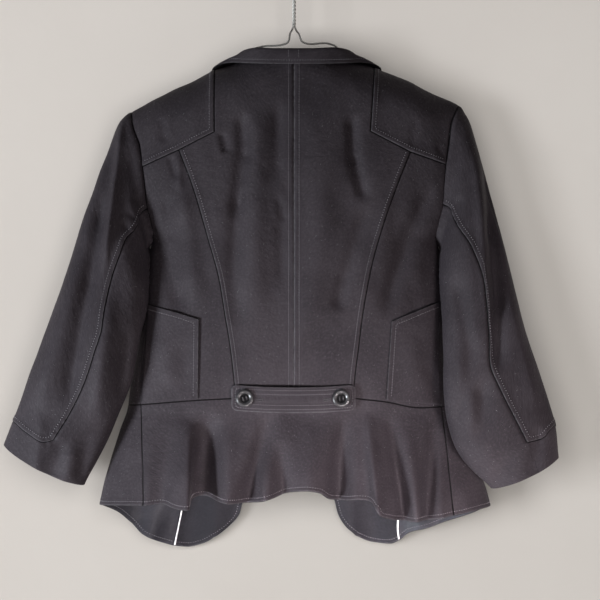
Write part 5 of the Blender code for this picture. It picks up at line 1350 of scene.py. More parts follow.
def fabric(name, dark, light, worn, rough, weave=0.00005, twill=35.0, nap=0.00006, crumple=(9.0, 0.0016, 0.6), **sockets):
    """Woven cloth: two close tones, a diagonal twill, a fine nap, pale fluff specks, a painted highlight along raised
    seam edges and painted shade along seam lines and stitch rows.
    """
    m = new_material(name, rough, **sockets)
    t, _, links, b = nodes_of(m)
    uv = node(t, 'ShaderNodeUVMap', uv_map='cloth').outputs['UV']
    obj = node(t, 'ShaderNodeTexCoord').outputs['Object']
    wide = noise(t, obj, 16.0, 3.0)
    tone = mix_colour(t, dark, light, spread_of(t, wide, 0.35, 0.65, 0.0, 1.0))
    mottled = noise(t, uv, 34.0, 4.0, 0.65)
    tone = mix_colour(t, tone, tuple(k * 0.62 for k in dark[:3]) + (1,), spread_of(t, mottled, 0.36, 0.62, 0.40, 0.0))
    tone = mix_colour(t, tone, tuple(k * 1.25 for k in light[:3]) + (1,), spread_of(t, mottled, 0.50, 0.72, 0.0, 0.5))
    # painted highlight: paler within about 1.7 mm of the sheet's own lapped edge, where a raised edge catches light;
    # noise breaks it up
    seam = node(t, 'ShaderNodeAttribute', attribute_name='seam').outputs['Fac']
    edge_highlight_at = node(t, 'ShaderNodeMath', operation='MULTIPLY')
    links.new(spread_of(t, seam, 0.5, 1.7, 0.6, 0.0), edge_highlight_at.inputs[0])
    links.new(spread_of(t, noise(t, uv, 22.0, 2.0), 0.35, 0.6, 0.2, 1.0), edge_highlight_at.inputs[1])
    tone = mix_colour(t, tone, worn, edge_highlight_at.outputs[0])
    # painted shade: much darker along seam lines and stitch rows, where the grooves fall into shade
    dent = node(t, 'ShaderNodeAttribute', attribute_name='dent').outputs['Fac']
    tone = mix_colour(t, tone, tuple(k * 0.12 for k in dark[:3]) + (1,), spread_of(t, dent, 0.35, 1.25, 0.95, 0.0))
    # pale fluff specks, the cloth's own lint, in the same pale tone
    fluff = noise(t, uv, 150.0, 2.0, 0.7)
    tone = mix_colour(t, tone, worn, spread_of(t, fluff, 0.70, 0.82, 0.0, 0.45))
    links.new(tone, b.inputs['Base Color'])
    links.new(spread_of(t, noise(t, uv, 30.0, 2.0), 0.3, 0.7, rough - 0.06, rough + 0.07), b.inputs['Roughness'])
    w = node(t, 'ShaderNodeTexWave', wave_type='BANDS', bands_direction='DIAGONAL')
    w.inputs['Scale'].default_value = twill
    w.inputs['Distortion'].default_value = 0.6
    w.inputs['Detail'].default_value = 1.0
    links.new(uv, w.inputs['Vector'])
    n1 = bump(t, w.outputs['Fac'], weave, 0.5)
    n2 = bump(t, noise(t, uv, 60.0, 3.0, 0.65), nap, 0.6, n1)
    n3 = bump(t, noise(t, uv, crumple[0], 3.0, 0.6), crumple[1], crumple[2], n2)
    links.new(n3, b.inputs['Normal'])
    return m


# each cloth's third colour is the pale tone for its fluff specks and for the painted highlight along raised edges
SHELL = fabric('shell_cloth', (0.0350, 0.0290, 0.0335, 1), (0.0490, 0.0412, 0.0468, 1), (0.115, 0.108, 0.115, 1), 0.66,
               nap=0.00008, Specular_IOR_Level=0.13, Sheen_Weight=0.022, Sheen_Roughness=0.5,
               Sheen_Tint=(0.86, 0.78, 0.90, 1))
# the facing is the shell cloth painted about a third as bright: painted shade, since it lies turned inside the peplum
FACING_SHADED = fabric('facing_cloth', (0.0125, 0.0120, 0.0148, 1), (0.0185, 0.0176, 0.0215, 1), (0.070, 0.066, 0.072, 1), 0.66,
                nap=0.00008, Specular_IOR_Level=0.10, Sheen_Weight=0.012, Sheen_Roughness=0.5,
                Sheen_Tint=(0.82, 0.80, 0.92, 1))
LINING = fabric('lining_cloth', (0.0145, 0.0145, 0.0195, 1), (0.022, 0.0215, 0.0275, 1), (0.04, 0.04, 0.05, 1), 0.50,
                weave=0.00002, twill=60.0, nap=0.00002, crumple=(3.4, 0.0034, 0.55), Specular_IOR_Level=0.22,
                Sheen_Weight=0.03, Sheen_Roughness=0.3, Sheen_Tint=(0.85, 0.86, 0.95, 1))
PIPE = fabric('piping_cloth', (0.72, 0.72, 0.71, 1), (0.80, 0.80, 0.79, 1), (0.84, 0.84, 0.83, 1), 0.6,
              weave=0.00006, twill=28.0, Specular_IOR_Level=0.4, Sheen_Weight=0.2)


def plain(name, dark, light, rough, scale, depth, **sockets):
    """Moulded, coated or spun stuff: two close tones, slight surface grain."""
    m = new_material(name, rough, **sockets)
    t, _, links, b = nodes_of(m)
    obj = node(t, 'ShaderNodeTexCoord').outputs['Object']
    f = noise(t, obj, scale, 3.0)
    links.new(mix_colour(t, dark, light, spread_of(t, f, 0.35, 0.65, 0.0, 1.0)), b.inputs['Base Color'])
    links.new(spread_of(t, noise(t, obj, scale * 4, 2.0), 0.3, 0.7, rough * 0.8, rough * 1.25), b.inputs['Roughness'])
    links.new(bump(t, noise(t, obj, scale * 9, 2.0), depth, 0.5), b.inputs['Normal'])
    return m


THREAD = plain('thread', (0.225, 0.208, 0.224, 1), (0.340, 0.318, 0.338, 1), 0.5, 300.0, 0.00003,
               Specular_IOR_Level=0.4, Sheen_Weight=0.15)
BUTTON_THREAD = plain('button_thread_stuff', (0.050, 0.046, 0.050, 1), (0.095, 0.088, 0.094, 1), 0.5, 300.0, 0.00003,
                      Specular_IOR_Level=0.4)
BUTTON = plain('button_plastic', (0.026, 0.025, 0.026, 1), (0.042, 0.040, 0.042, 1), 0.30, 220.0, 0.00002,
               Specular_IOR_Level=0.6, Coat_Weight=0.5, Coat_Roughness=0.2)
# the same plastic painted much darker: painted shade in the button's sunken middle
BUTTON_WELL_SHADED = plain('button_well', (0.0035, 0.0035, 0.004, 1), (0.006, 0.0056, 0.006, 1), 0.42, 220.0, 0.00002,
                    Specular_IOR_Level=0.12)
WIRE = plain('white_coated_wire', (0.66, 0.64, 0.59, 1), (0.76, 0.745, 0.70, 1), 0.38, 260.0, 0.00004,
             Specular_IOR_Level=0.5, Coat_Weight=0.25, Coat_Roughness=0.25)
LINT = plain('lint', (0.16, 0.16, 0.165, 1), (0.36, 0.36, 0.365, 1), 0.8, 500.0, 0.00002, Sheen_Weight=0.3)


# ------------------------------------------------------------ meshes
def mesh_object(name, verts, faces, mats, index=None, uv=None, seam=None, dent=None, fix=True, flat_over=None):
    me = bpy.data.meshes.new(name)
    me.from_pydata((np.asarray(verts, float) * MM).tolist(), [], [[int(i) for i in f] for f in faces])
    for m in mats:
        me.materials.append(m)
    if index is not None:
        me.polygons.foreach_set('material_index', np.asarray(index, dtype=np.int32))
    if uv is not None:
        layer = me.uv_layers.new(name='cloth')
        loops = np.zeros(len(me.loops), dtype=np.int32)
        me.loops.foreach_get('vertex_index', loops)
        layer.data.foreach_set('uv', (np.asarray(uv)[loops] / 100.0).astype(np.float32).ravel())
    if seam is not None:
        at = me.attributes.new('seam', 'FLOAT', 'POINT')
        at.data.foreach_set('value', np.asarray(seam, dtype=np.float32))
        # the first attribute is the distance to the sheet's own lapped edge, for the painted highlight; the second the
        # distance to seams and stitch rows, for the painted shade
        at = me.attributes.new('dent', 'FLOAT', 'POINT')
        at.data.foreach_set('value', np.asarray(seam if dent is None else dent, dtype=np.float32))
    me.polygons.foreach_set('use_smooth', np.ones(len(me.polygons), dtype=bool))
    if fix or flat_over:
        bm = bmesh.new()
        bm.from_mesh(me)
        if fix:
            bmesh.ops.recalc_face_normals(bm, faces=bm.faces)
        if flat_over:
            for e in bm.edges:
                if len(e.link_faces) == 2 and e.calc_face_angle() > math.radians(flat_over):
                    e.smooth = False
        bm.to_mesh(me)
        bm.free()
    me.update()
    ob = bpy.data.objects.new(name, me)
    bpy.context.scene.collection.objects.link(ob)
    return ob


LINED = ('back_', 'yoke_', 'front_left', 'front_right', 'peplum_', 'sleeve_')


def make_sheet(c):
    v, f = c.solid()
    m, k = len(c.p), len(c.tris)
    own, dent = np.concatenate([c.own, c.own]), np.concatenate([c.dent, c.dent])
    index = np.zeros(len(f), int)
    mats = [LINING] if c.shade == 'lining' else [SHELL]
    # the facing takes the shaded copy of the shell cloth
    if c.name.startswith('facing'):
        mats = [FACING_SHADED]
    if c.name.startswith(LINED):
        mats = [SHELL, LINING]
        index[k:2 * k] = 1
    ob = mesh_object(c.name + '_cloth', v, f, mats, index, np.concatenate([c.uv, c.uv]), own, dent)
    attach(ob, 'root')
    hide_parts(c.name)


for one in Cloth.every:
    make_sheet(one)


# ------------------------------------------------------------ stitches
class Rows:
    """Many small stitches, gathered to be joined into one mesh."""

    def __init__(self):
        self.v, self.f, self.n = [], [], 0

    def bead(self, a, b, up, r):
        """One stitch from a to b: a thin rounded bead of five sides, dipping at its ends."""
        t = b - a
        ln = np.linalg.norm(t)
        t = t / ln
        u = up - t * np.dot(up, t)
        u = u / max(np.linalg.norm(u), 1e-6)
        w = np.cross(t, u)
        rings = []
        for s, k, h in ((0.10, 0.75, 0.0), (0.5, 1.0, 0.16), (0.90, 0.75, 0.0)):
            c = a + t * ln * s + u * h
            rings.append([c + (u * math.cos(q) * 0.8 + w * math.sin(q)) * r * k
                          for q in (0.0, 1.257, 2.513, 3.770, 5.027)])
        base = self.n
        self.v += [a - u * r * 0.7] + rings[0] + rings[1] + rings[2] + [b - u * r * 0.7]
        for i in range(5):
            j = (i + 1) % 5
            self.f += [[base, base + 1 + j, base + 1 + i], [base + 16, base + 11 + i, base + 11 + j]]
            for k in (0, 5):
                self.f += [[base + 1 + i + k, base + 1 + j + k, base + 6 + j + k, base + 6 + i + k]]
        self.n += 17

    def make(self, name, mat):
        ob = mesh_object(name, self.v, self.f, [mat], fix=False)
        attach(ob, 'root')
        return ob


TREES = {}


def tree_of(c):
    if c.name not in TREES:
        p = c.p + c.n * c.lift[:, None]
        TREES[c.name] = (BVHTree.FromPolygons([Vector(k) for k in p], [[int(i) for i in t] for t in c.tris]), p)
    return TREES[c.name]


def row_points(c, ids, off, pitch=3.2, skip=(0.0, 0.0)):
    """Evenly spaced places on the sheet, at one distance from a line of its vertices."""
    tree, p = tree_of(c)
    q, n = p[ids], c.n[ids]
    t = np.gradient(q, axis=0)
    t /= np.maximum(np.linalg.norm(t, axis=1), 1e-6)[:, None]
    d = np.cross(n, t)
    best = None
    for sign in (-1, 1):
        hits = [tree.find_nearest(Vector(a + b * sign * off)) for a, b in zip(q, d)]
        gap = float(np.mean([h[3] for h in hits]))
        if best is None or gap < best[0]:
            best = (gap, hits)
    pts = np.array([h[0] for h in best[1]])
    away, _ = near(q, pts)
    pts = pts[away > off * 0.94]
    s = np.concatenate([[0], np.cumsum(np.linalg.norm(np.diff(pts, axis=0), axis=1))])
    want = np.arange(skip[0], s[-1] - skip[1], pitch)
    pts = np.stack([np.interp(want, s, pts[:, k]) for k in range(3)], axis=-1)
    return pts


def sew(rows, c, pts, length=1.0, r=0.48, inside=False, jump=7.0):
    tree, _ = tree_of(c)
    for a, b in zip(pts[:-1], pts[1:]):
        gap = b - a
        ln = np.linalg.norm(gap)
        if ln < 1e-3 or ln > jump:
            continue
        mid = (a + b) / 2
        hit = tree.find_nearest(Vector(mid))
        nrm = np.array(hit[1])
        pos = np.array(hit[0])
        if inside:
            pos, nrm = pos - nrm * c.wall, -nrm
        half = gap / ln * length / 2
        rows.bead(pos - half + nrm * 0.05, pos + half + nrm * 0.05, nrm, r)


topstitch = Rows()
for side, tag in ((-1, 'left'), (1, 'right')):
    bc, bs, yk = (sheet_named(n + tag) for n in ('back_center_', 'back_side_', 'yoke_'))
    fr, pf = sheet_named('front_' + tag), sheet_named('peplum_front_' + tag)
    up = sheet_named('sleeve_%s_upper' % tag)
    cb = chain(rim(bc, 0, 'right'), rim(bc, 1, 'right'), rim(bc, 2, 'right'))
    sew(topstitch, bc, row_points(bc, cb, 6.3))
    sew(topstitch, bc, row_points(bc, rim(bc, 2, 'left'), 4.9, skip=(2.0, 0.0)))
    yoke_line = chain(rim(yk, 0, 'right'), rim(yk, 0, 'bottom')[::-1])
    sew(topstitch, yk, row_points(yk, yoke_line, 5.3, skip=(4.0, 1.0)))
    back_seam = chain(rim(up, 0, 'right'), rim(up, 0, 'bottom')[::-1][:N['yoke_side'] + N['arm_mid'] + 1])
    sew(topstitch, up, row_points(up, back_seam, 5.3, skip=(2.0, 0.0)))
    pt = sheet_named('patch_' + tag)
    sew(topstitch, pt, row_points(pt, chain(rim(pt, 0, 'top'), rim(pt, 0, 'right')), 5.9, skip=(1.0, 1.0)))
    sew(topstitch, pf, row_points(pf, chain(rim(pf, 0, 'bottom'), rim(pf, 0, 'right')[::-1]), 4.9))
    sew(topstitch, fr, row_points(fr, rim(fr, 1, 'right'), 6.0))
    fc = sheet_named('facing_' + tag)
    sew(topstitch, fc, row_points(fc, chain(rim(fc, 0, 'bottom'), rim(fc, 0, 'right')[::-1]), 4.2), inside=True)
    ln = sheet_named('lining_' + tag)
    sew(topstitch, ln, row_points(ln, rim(ln, 0, 'bottom'), 4.2), inside=True)
    lp = sheet_named('lapel_' + tag)
    sew(topstitch, lp, row_points(lp, chain(rim(lp, 0, 'top'), rim(lp, 0, 'right')), 4.9))
pb, co = sheet_named('peplum_back'), sheet_named('collar')
sew(topstitch, pb, row_points(pb, rim(pb, 0, 'bottom'), 4.9))
sew(topstitch, co, row_points(co, rim(co, 0, 'right'), 4.9, skip=(3.0, 3.0)))
tree, _ = tree_of(co)
for x in (-6.0, 6.0):
    pts = []
    for z in np.arange(-124.0, -136.0, -0.5):
        hit = tree.ray_cast(Vector((x - 0.5, -200.0, z)), Vector((0, 1, 0)))
        if hit[0] is not None:
            pts.append(np.array(hit[0]))
    if len(pts) > 4:
        sew(topstitch, co, np.array(pts)[::6])


# the tab's two rows all round, and its two worked buttonholes
def tab_point(x, y):
    return tab_surface(np.array((x + 0.6) / TAB_HALF), np.array(y / TAB_HEIGHT))


def rounded_box(half_w, half_h, r, n=7):
    out = []
    for sx, sy, a0 in ((1, 1, 0), (-1, 1, 90), (-1, -1, 180), (1, -1, 270)):
        for a in np.linspace(a0, a0 + 90, n):
            out.append((sx * (half_w - r) + r * math.cos(math.radians(a)), sy * (half_h - r) + r * math.sin(math.radians(a))))
    out.append(out[0])
    return out


tab = sheet_named('belt_tab')
for off, corner in ((4.0, 3.2), (9.0, 1.2)):
    loop = np.array(rounded_box(TAB_HALF - off, TAB_HEIGHT / 2 - off, corner))
    s = np.concatenate([[0], np.cumsum(np.linalg.norm(np.diff(loop, axis=0), axis=1))])
    want = np.arange(0, s[-1], 3.1)
    pts = np.array([tab_point(x, y + TAB_HEIGHT / 2) for x, y in
                    zip(np.interp(want, s, loop[:, 0]), np.interp(want, s, loop[:, 1]))])
    sew(topstitch, tab, pts, length=0.95)
HOLES = Rows()
for x0, x1 in ((-45.4, -38.2), (37.2, 44.4)):
    for x in np.arange(x0, x1, 0.72):
        for dy in (-1.5, 1.5):
            a, b = tab_point(x, TAB_HEIGHT / 2 + 0.5 + dy * 0.25), tab_point(x + 0.1, TAB_HEIGHT / 2 + 0.5 + dy * 1.25)
            n = np.array([0.0, -1.0, 0.0])
            lift = 0.45
            HOLES.bead(a + n * lift, b + n * lift, n, 0.24)
    end = x1 if x0 < 0 else x0
    for a in np.linspace(-80, 80, 6):
        d = 1.0 if x0 < 0 else -1.0
        c0 = (end + d * 0.3, TAB_HEIGHT / 2 + 0.5)
        q = [(c0[0] + d * k * math.cos(math.radians(a)), c0[1] + k * math.sin(math.radians(a))) for k in (0.5, 2.0)]
        HOLES.bead(tab_point(*q[0]) + n * lift, tab_point(*q[1]) + n * lift, n, 0.24)
STITCHES = topstitch.make('topstitching', THREAD)
HOLES.make('buttonhole_stitches', BUTTON_THREAD)


# ------------------------------------------------------------ piping
def smooth_tube(path, r, sides, name, mats, node_names, closed_ends=True):
    p = np.array(path, float)
    d = np.gradient(p, axis=0)
    d /= np.linalg.norm(d, axis=1)[:, None]
    up = np.array([0.0, 1.0, 0.0]) if abs(d[0][1]) < 0.9 else np.array([1.0, 0.0, 0.0])
    u = np.cross(d[0], up)
    u /= np.linalg.norm(u)
    radius = np.full(len(p), r) if np.isscalar(r) else np.asarray(r)
    verts, faces, uv = [], [], []
    s = np.concatenate([[0], np.cumsum(np.linalg.norm(np.diff(p, axis=0), axis=1))])
    for i in range(len(p)):
        u = u - d[i] * np.dot(u, d[i])
        u /= np.linalg.norm(u)
        v = np.cross(d[i], u)
        for k in range(sides):
            a = 2 * math.pi * k / sides
            verts.append(p[i] + radius[i] * (math.cos(a) * u + math.sin(a) * v))
            uv.append((a * radius[i], s[i]))
    for i in range(len(p) - 1):
        for k in range(sides):
            a, b = i * sides + k, i * sides + (k + 1) % sides
            faces.append([a, b, b + sides, a + sides])
    # rounded ends
    for i, sign in ((0, -1), (len(p) - 1, 1)):
        tip = len(verts)
        verts.append(p[i] + d[i] * sign * radius[i] * 0.6)
        uv.append((0.0, s[i]))
        for k in range(sides):
            a, b = i * sides + k, i * sides + (k + 1) % sides
            faces.append([a, b, tip] if sign > 0 else [b, a, tip])
    ob = mesh_object(name, verts, faces, mats, None, uv, np.full(len(verts), 40.0))
    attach(ob, 'root')
    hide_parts(*node_names)
    return ob


for side, tag in ((-1, 'left'), (1, 'right')):
    smooth_tube(along([tuple(k) for k in E[side]['piping'][::3]], 90), PIPE_R, 12, 'piping_%s_cord' % tag, [PIPE],
                ['piping_' + tag])


# ------------------------------------------------------------ hanger
def hanger_line():
    """Hook, twisted neck, right arm, bar, left arm and back up round the neck."""
    cz = WIRE_R - HOOK_R
    hook = [(HOOK_R * math.cos(math.radians(a)), 0.0, cz + HOOK_R * math.sin(math.radians(a)))
            for a in np.linspace(-35, 200, 40)]
    hook += [(-12.5, 0.0, -30.5), (-5.6, 0.0, -36.2), (-1.0, 0.0, -41.5), (0.0, 0.0, -47.0), (0.0, 0.0, -54.0)]
    turns, count, top = 4.0, 96, -58.0
    twist_a, twist_b = [], []
    for i in range(count + 1):
        f = i / count
        a = math.pi + 2 * math.pi * turns * f
        z = -NECK_LOW + 0.5 + f * (top + NECK_LOW - 0.5)
        rb = (WIRE_R + 0.12) + 1.15 * step((f - 0.90) / 0.10)
        ra = (WIRE_R + 0.12) * (1 - step((f - 0.90) / 0.10))
        twist_b.append((rb * math.cos(a), rb * math.sin(a), z))
        twist_a.append((-ra * math.cos(a), -ra * math.sin(a), z))
    right = [(3.2, -97.3), (5.6, -100.2), (7.8, -106.2), (9.2, -109.4), (12.5, -111.2), (43.2, -112.7), (50.4, -115.6),
             (56.0, -125.0), (60.0, -133.0), (66.0, -139.8), (84.0, -148.0), (120.0, -164.8), (158.0, -183.5),
             (170.0, -191.0), (175.5, -196.5), (173.5, -203.0), (166.0, -205.6), (150.0, -205.6), (110.0, -205.6),
             (0.0, -205.6), (-110.0, -205.6), (-150.0, -205.6),
             (-166.0, -205.6), (-173.5, -203.0), (-175.5, -196.5), (-170.0, -190.5), (-158.0, -184.0),
             (-120.0, -165.0), (-84.0, -149.2), (-66.0, -141.2), (-59.5, -133.0), (-54.0, -124.6), (-47.0, -118.2),
             (-40.8, -116.4), (-12.0, -113.0), (-8.4, -111.6), (-6.2, -108.4), (-5.4, -103.6), (-4.4, -99.2),
             (-2.8, -96.5)]
    pts = hook + twist_a[::-1] + [(x, 0.0, z) for x, z in right] + twist_b
    return along(pts, 900)


smooth_tube(hanger_line(), WIRE_R, 14, 'hanger_wire_coated', [WIRE], ['hanger_wire'])


# ------------------------------------------------------------ buttons
def button_mesh(ring=64):
    bm = bmesh.new()
    prof = [(0.0, 0.42), (3.0, 0.44), (5.0, 0.46), (5.6, 0.60), (6.1, 0.95), (6.6, 1.36), (7.3, 1.66), (8.2, 1.74),
            (9.1, 1.62), (9.7, 1.34), (10.15, 0.92), (10.42, 0.42), (10.5, -0.05), (10.35, -0.6), (9.8, -1.1),
            (8.6, -1.6), (7.0, -1.7), (0.0, -1.7)]
    rings = []
    for r, z in prof:
        if r == 0:
            rings.append([bm.verts.new((0, 0, z))])
        else:
            rings.append([bm.verts.new((r * math.cos(2 * math.pi * k / ring), r * math.sin(2 * math.pi * k / ring), z))
                          for k in range(ring)])
    for a, b in zip(rings[:-1], rings[1:]):
        for k in range(ring):
            k2 = (k + 1) % ring
            if len(a) == 1:
                bm.faces.new([a[0], b[k], b[k2]])
            elif len(b) == 1:
                bm.faces.new([a[k], b[0], a[k2]])
            else:
                bm.faces.new([a[k], b[k], b[k2], a[k2]])
    bmesh.ops.recalc_face_normals(bm, faces=bm.faces)
    return bm


def button(node_name, centre, outward, turn):
    bm = button_mesh()
    me = bpy.data.meshes.new('button_work')
    bm.to_mesh(me)
    bm.free()
    ob = bpy.data.objects.new('button_work', me)
    bpy.context.scene.collection.objects.link(ob)
    pins = bmesh.new()
    for sx in (-1, 1):
        for sy in (-1, 1):
            r = bmesh.ops.create_cone(pins, cap_ends=True, segments=20, radius1=1.15, radius2=1.15, depth=9.0)
            bmesh.ops.translate(pins, verts=r['verts'], vec=(sx * 2.2, sy * 2.2, 0))
    pm = bpy.data.meshes.new('button_pins')
    pins.to_mesh(pm)
    pins.free()
    cutter = bpy.data.objects.new('button_pins', pm)
    bpy.context.scene.collection.objects.link(cutter)
    mod = ob.modifiers.new('holes', 'BOOLEAN')
    mod.operation, mod.solver, mod.object = 'DIFFERENCE', 'EXACT', cutter
    dg = bpy.context.evaluated_depsgraph_get()
    cut = bpy.data.meshes.new_from_object(ob.evaluated_get(dg))
    bpy.data.objects.remove(cutter)
    bpy.data.objects.remove(ob)
    o = np.array(outward, float)
    o /= np.linalg.norm(o)
    side = np.cross([0, 0, 1.0], o)
    side /= np.linalg.norm(side)
    up = np.cross(o, side)
    ca, sa = math.cos(turn), math.sin(turn)

    def place(q):
        x, y, z = q
        x, y = ca * x - sa * y, sa * x + ca * y
        return np.array(centre) + side * x + up * y + o * z
    corner = [tuple(v.co) for v in cut.vertices]
    verts = [place(v) for v in corner]
    faces = [list(p.vertices) for p in cut.polygons]
    bpy.data.meshes.remove(cut)
    # faces within 6 mm of the middle take the shaded plastic: painted shade in the sunken well
    shaded_well = [1 if max(math.hypot(*(np.array(f0)[:2])) for f0 in [corner[v] for v in f]) < 6.0 else 0 for f in faces]
    ob = mesh_object(node_name + '_gloss', verts, faces, [BUTTON, BUTTON_WELL_SHADED], shaded_well, flat_over=38)
    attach(ob, 'root')
    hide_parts(node_name)
    # two bars of thread through the holes
    for k in (-1, 1):
        for j in (-1, 0, 1):
            a, b = place((k * 2.2 + j * 0.42, -2.3, 0.5)), place((k * 2.2 + j * 0.42, 2.3, 0.5))
            m0, m1 = place((k * 2.2 + j * 0.42, -1.3, 1.0)), place((k * 2.2 + j * 0.42, 1.3, 1.0))
            for s0, s1 in ((a, m0), (m0, m1), (m1, b)):
                BARS.bead(s0, s1 + (s1 - s0) * 0.1, o, 0.30)


BARS = Rows()
for x, tag, turn in ((-58.4, 'left', 0.3), (56.4, 'right', 0.1)):
    q = tab_surface(np.array(x / TAB_HALF), np.array(0.5))
    button('tab_button_' + tag, (x, q[1] - 1.7 - 1.1, q[2] + 0.5), (0.0, -1.0, 0.0), turn)
for i, d in enumerate((356.0, 436.0, 516.0)):
    q = cf_shift(surf(to_turn([(0.0, d)], 1, 1)), 1)[0]
    button('front_button_%d' % (i + 1), (0.0, q[1] + 2.2, -d), (0.0, 1.0, 0.0), 0.2 * i)
bars = BARS.make('button_thread', BUTTON_THREAD)


# ------------------------------------------------------------ lint
def lint(count=5200):
    """Short pale fibres and specks caught on the cloth, laid in a fixed pattern."""
    rng = np.random.RandomState(11)
    sheets = [c for c in Cloth.every if c.name.startswith(('back_', 'yoke_', 'peplum_', 'sleeve_', 'patch_', 'collar', 'front_'))]
    areas = []
    for c in sheets:
        p = c.p + c.n * c.lift[:, None]
        g = p[c.tris]
        areas.append(0.5 * np.linalg.norm(np.cross(g[:, 1] - g[:, 0], g[:, 2] - g[:, 0]), axis=1))
    total = sum(a.sum() for a in areas)
    v, f = [], []
    for c, a in zip(sheets, areas):
        p = c.p + c.n * c.lift[:, None]
        n = int(round(count * a.sum() / total))
        pick_t = rng.choice(len(a), size=n, p=a / a.sum())
        for k in pick_t:
            w = rng.dirichlet((1, 1, 1))
            t = c.tris[k]
            pos = w @ p[t]
            nrm = w @ c.n[t]
            nrm /= np.linalg.norm(nrm)
            d = rng.normal(size=3)
            d -= nrm * np.dot(d, nrm)
            d /= np.linalg.norm(d)
            e = np.cross(nrm, d)
            if rng.rand() < 0.45:
                ln, r = 0.5 + 1.1 * rng.rand(), 0.05 + 0.04 * rng.rand()
            else:
                ln = r = 0.08 + 0.17 * rng.rand() ** 2
            pos = pos + nrm * (r * 0.9 + 0.12)
            b = len(v)
            v += [pos - d * ln, pos + d * ln, pos + e * r, pos - e * r, pos + nrm * r, pos - nrm * r]
            for i, j in ((2, 4), (4, 3), (3, 5), (5, 2)):
                f += [[b, b + j, b + i], [b + 1, b + i, b + j]]
    ob = mesh_object('lint_fibres', v, f, [LINT], fix=False)
    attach(ob, 'root')
    return ob


lint()


# ------------------------------------------------------------ each sheet's width and length in its cloth coordinates, worked out and not used
def declare():
    for c in Cloth.every:
        wide, long = float(np.ptp(c.uv[:, 0])) * 1e-3, float(np.ptp(c.uv[:, 1])) * 1e-3
        wide, long = max(wide, 0.012), max(long, 0.012)


declare()


# ------------------------------------------------------------ stage, light and camera
def stage():
    """One pale sweep: a wall close behind, a cove and a floor. From behind, the wall is clear."""
    y0, low, r = 0.088, -2.35, 0.35
    prof = [(y0, 1.6)] + [(y0, z) for z in np.linspace(1.2, low + r, 12)]
    prof += [(y0 - r + r * math.cos(a), low + r - r * math.sin(a)) for a in np.linspace(0, math.pi / 2, 14)[1:]]
    prof += [(y0 - r - k, low) for k in (0.5, 1.5, 3.0, 5.0)]
    xs = np.linspace(-4, 4, 17)
    v = [(x, y, z) for y, z in prof for x in xs]
    n = len(xs)
    f = [[i * n + j, i * n + j + 1, (i + 1) * n + j + 1, (i + 1) * n + j] for i in range(len(prof) - 1) for j in range(n - 1)]
    me = bpy.data.meshes.new('pale_sweep')
    me.from_pydata(v, [], f)
    me.polygons.foreach_set('use_smooth', np.ones(len(me.polygons), dtype=bool))
    me.update()
    ob = bpy.data.objects.new('pale_sweep', me)
    bpy.context.scene.collection.objects.link(ob)
    if me.polygons[0].normal.y > 0:
        me.flip_normals()
    m = new_material('pale_wall', 0.9, Specular_IOR_Level=0.2)
    t, _, links, b = nodes_of(m)
    obj = node(t, 'ShaderNodeTexCoord').outputs['Object']
    links.new(mix_colour(t, (0.60, 0.575, 0.545, 1), (0.62, 0.597, 0.568, 1), spread_of(t, noise(t, obj, 3.0, 4.0), 0.3, 0.7, 0.0, 1.0)),
              b.inputs['Base Color'])
    links.new(bump(t, noise(t, obj, 60.0, 3.0), 0.0012, 0.2), b.inputs['Normal'])
    out = next(k for k in t.nodes if k.type == 'OUTPUT_MATERIAL')
    clear = node(t, 'ShaderNodeBsdfTransparent')
    mix = node(t, 'ShaderNodeMixShader')
    links.new(node(t, 'ShaderNodeNewGeometry').outputs['Backfacing'], mix.inputs[0])
    links.new(b.outputs[0], mix.inputs[1])
    links.new(clear.outputs[0], mix.inputs[2])
    links.new(mix.outputs[0], out.inputs['Surface'])
    me.materials.append(m)
    return ob


def area_light(name, place, aim, size, power, colour, on=None, spread=180):
    d = bpy.data.lights.new(name, 'AREA')
    d.shape, d.size, d.size_y = 'RECTANGLE', size[0], size[1]
    d.energy, d.color, d.spread = power, colour, math.radians(spread)
    ob = bpy.data.objects.new(name, d)
    ob.location = place
    ob.rotation_euler = (Vector(aim) - Vector(place)).to_track_quat('-Z', 'Y').to_euler()
    bpy.context.scene.collection.objects.link(ob)
    if on is not None:
        ob.light_linking.receiver_collection = on
    return ob


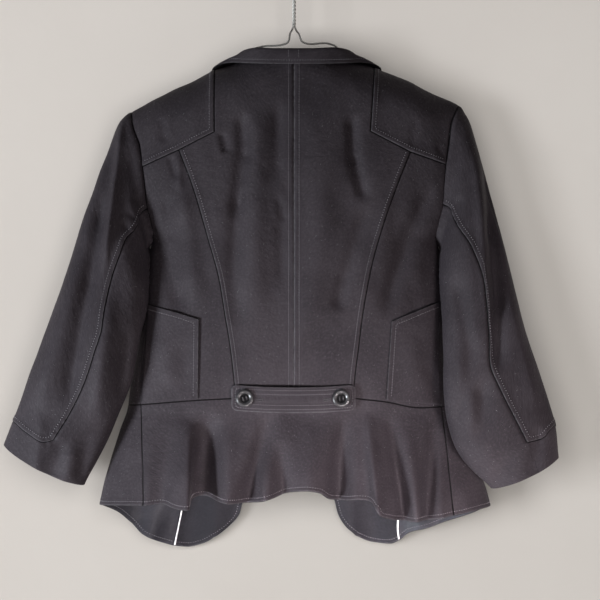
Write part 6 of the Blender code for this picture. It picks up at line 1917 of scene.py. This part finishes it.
def light(wall):
    """The jacket is lit from low on its left; the wall has its own even wash, so it stays pale."""
    worn, behind = bpy.data.collections.new('lit_jacket'), bpy.data.collections.new('lit_wall')
    behind.objects.link(wall)
    for ob in bpy.data.objects:
        if ob.type == 'MESH' and ob != wall:
            worn.objects.link(ob)
    w = bpy.data.worlds.new('soft')
    bpy.context.scene.world = w
    w.use_nodes = True
    bg = w.node_tree.nodes['Background']
    bg.inputs[0].default_value = (0.90, 0.885, 0.92, 1)
    bg.inputs[1].default_value = 0.12
    area_light('key', (-1.42, -0.98, -1.12), (-0.05, 0.0, -0.66), (0.35, 0.35), 8.6, (0.87, 0.94, 1.0), worn, 80)
    area_light('high', (-0.10, -1.90, -0.75), (0.0, 0.0, -0.55), (0.8, 0.8), 0.6, (1.0, 0.94, 0.95), worn, 80)
    area_light('right', (0.75, -1.15, -1.10), (0.120, 0.0, -0.66), (0.3, 0.3), 0.75, (1.0, 0.91, 0.92), worn, 36)
    area_light('low', (0.14, -1.20, -1.30), (0.060, 0.0, -0.81), (0.25, 0.25), 0.95, (1.0, 0.90, 0.93), worn, 24)
    area_light('wash', (0.0, -3.1, -0.40), (0.0, 0.0, -0.45), (1.6, 1.6), 66.0, (1.0, 0.97, 0.94), behind)
    area_light('slant', (-1.6, -2.6, -0.65), (0.0, 0.0, -0.55), (0.9, 0.9), 36.0, (0.98, 0.98, 1.0), behind)
    area_light('back', (0.4, 2.4, 0.6), (0.0, 0.0, -0.4), (2.0, 2.0), 9.0, (0.95, 0.97, 1.0))
    area_light('front', (0.5, 2.2, -0.10), (0.0, 0.0, -0.50), (1.0, 1.0), 32.0, (0.98, 0.97, 1.0), worn, 120)


def camera():
    d = bpy.data.cameras.new('camera')
    d.sensor_width, d.lens, d.clip_start, d.clip_end = 36.0, 130.0, 0.05, 50.0
    ob = bpy.data.objects.new('camera', d)
    ob.location = (0.0072, -2.62, -0.4224)
    ob.rotation_euler = (math.pi / 2, 0.0, 0.0)
    bpy.context.scene.collection.objects.link(ob)
    bpy.context.scene.camera = ob


light(stage())
camera()
bpy.context.scene.view_settings.view_transform = 'Standard'
bpy.context.scene.view_settings.look = 'None'
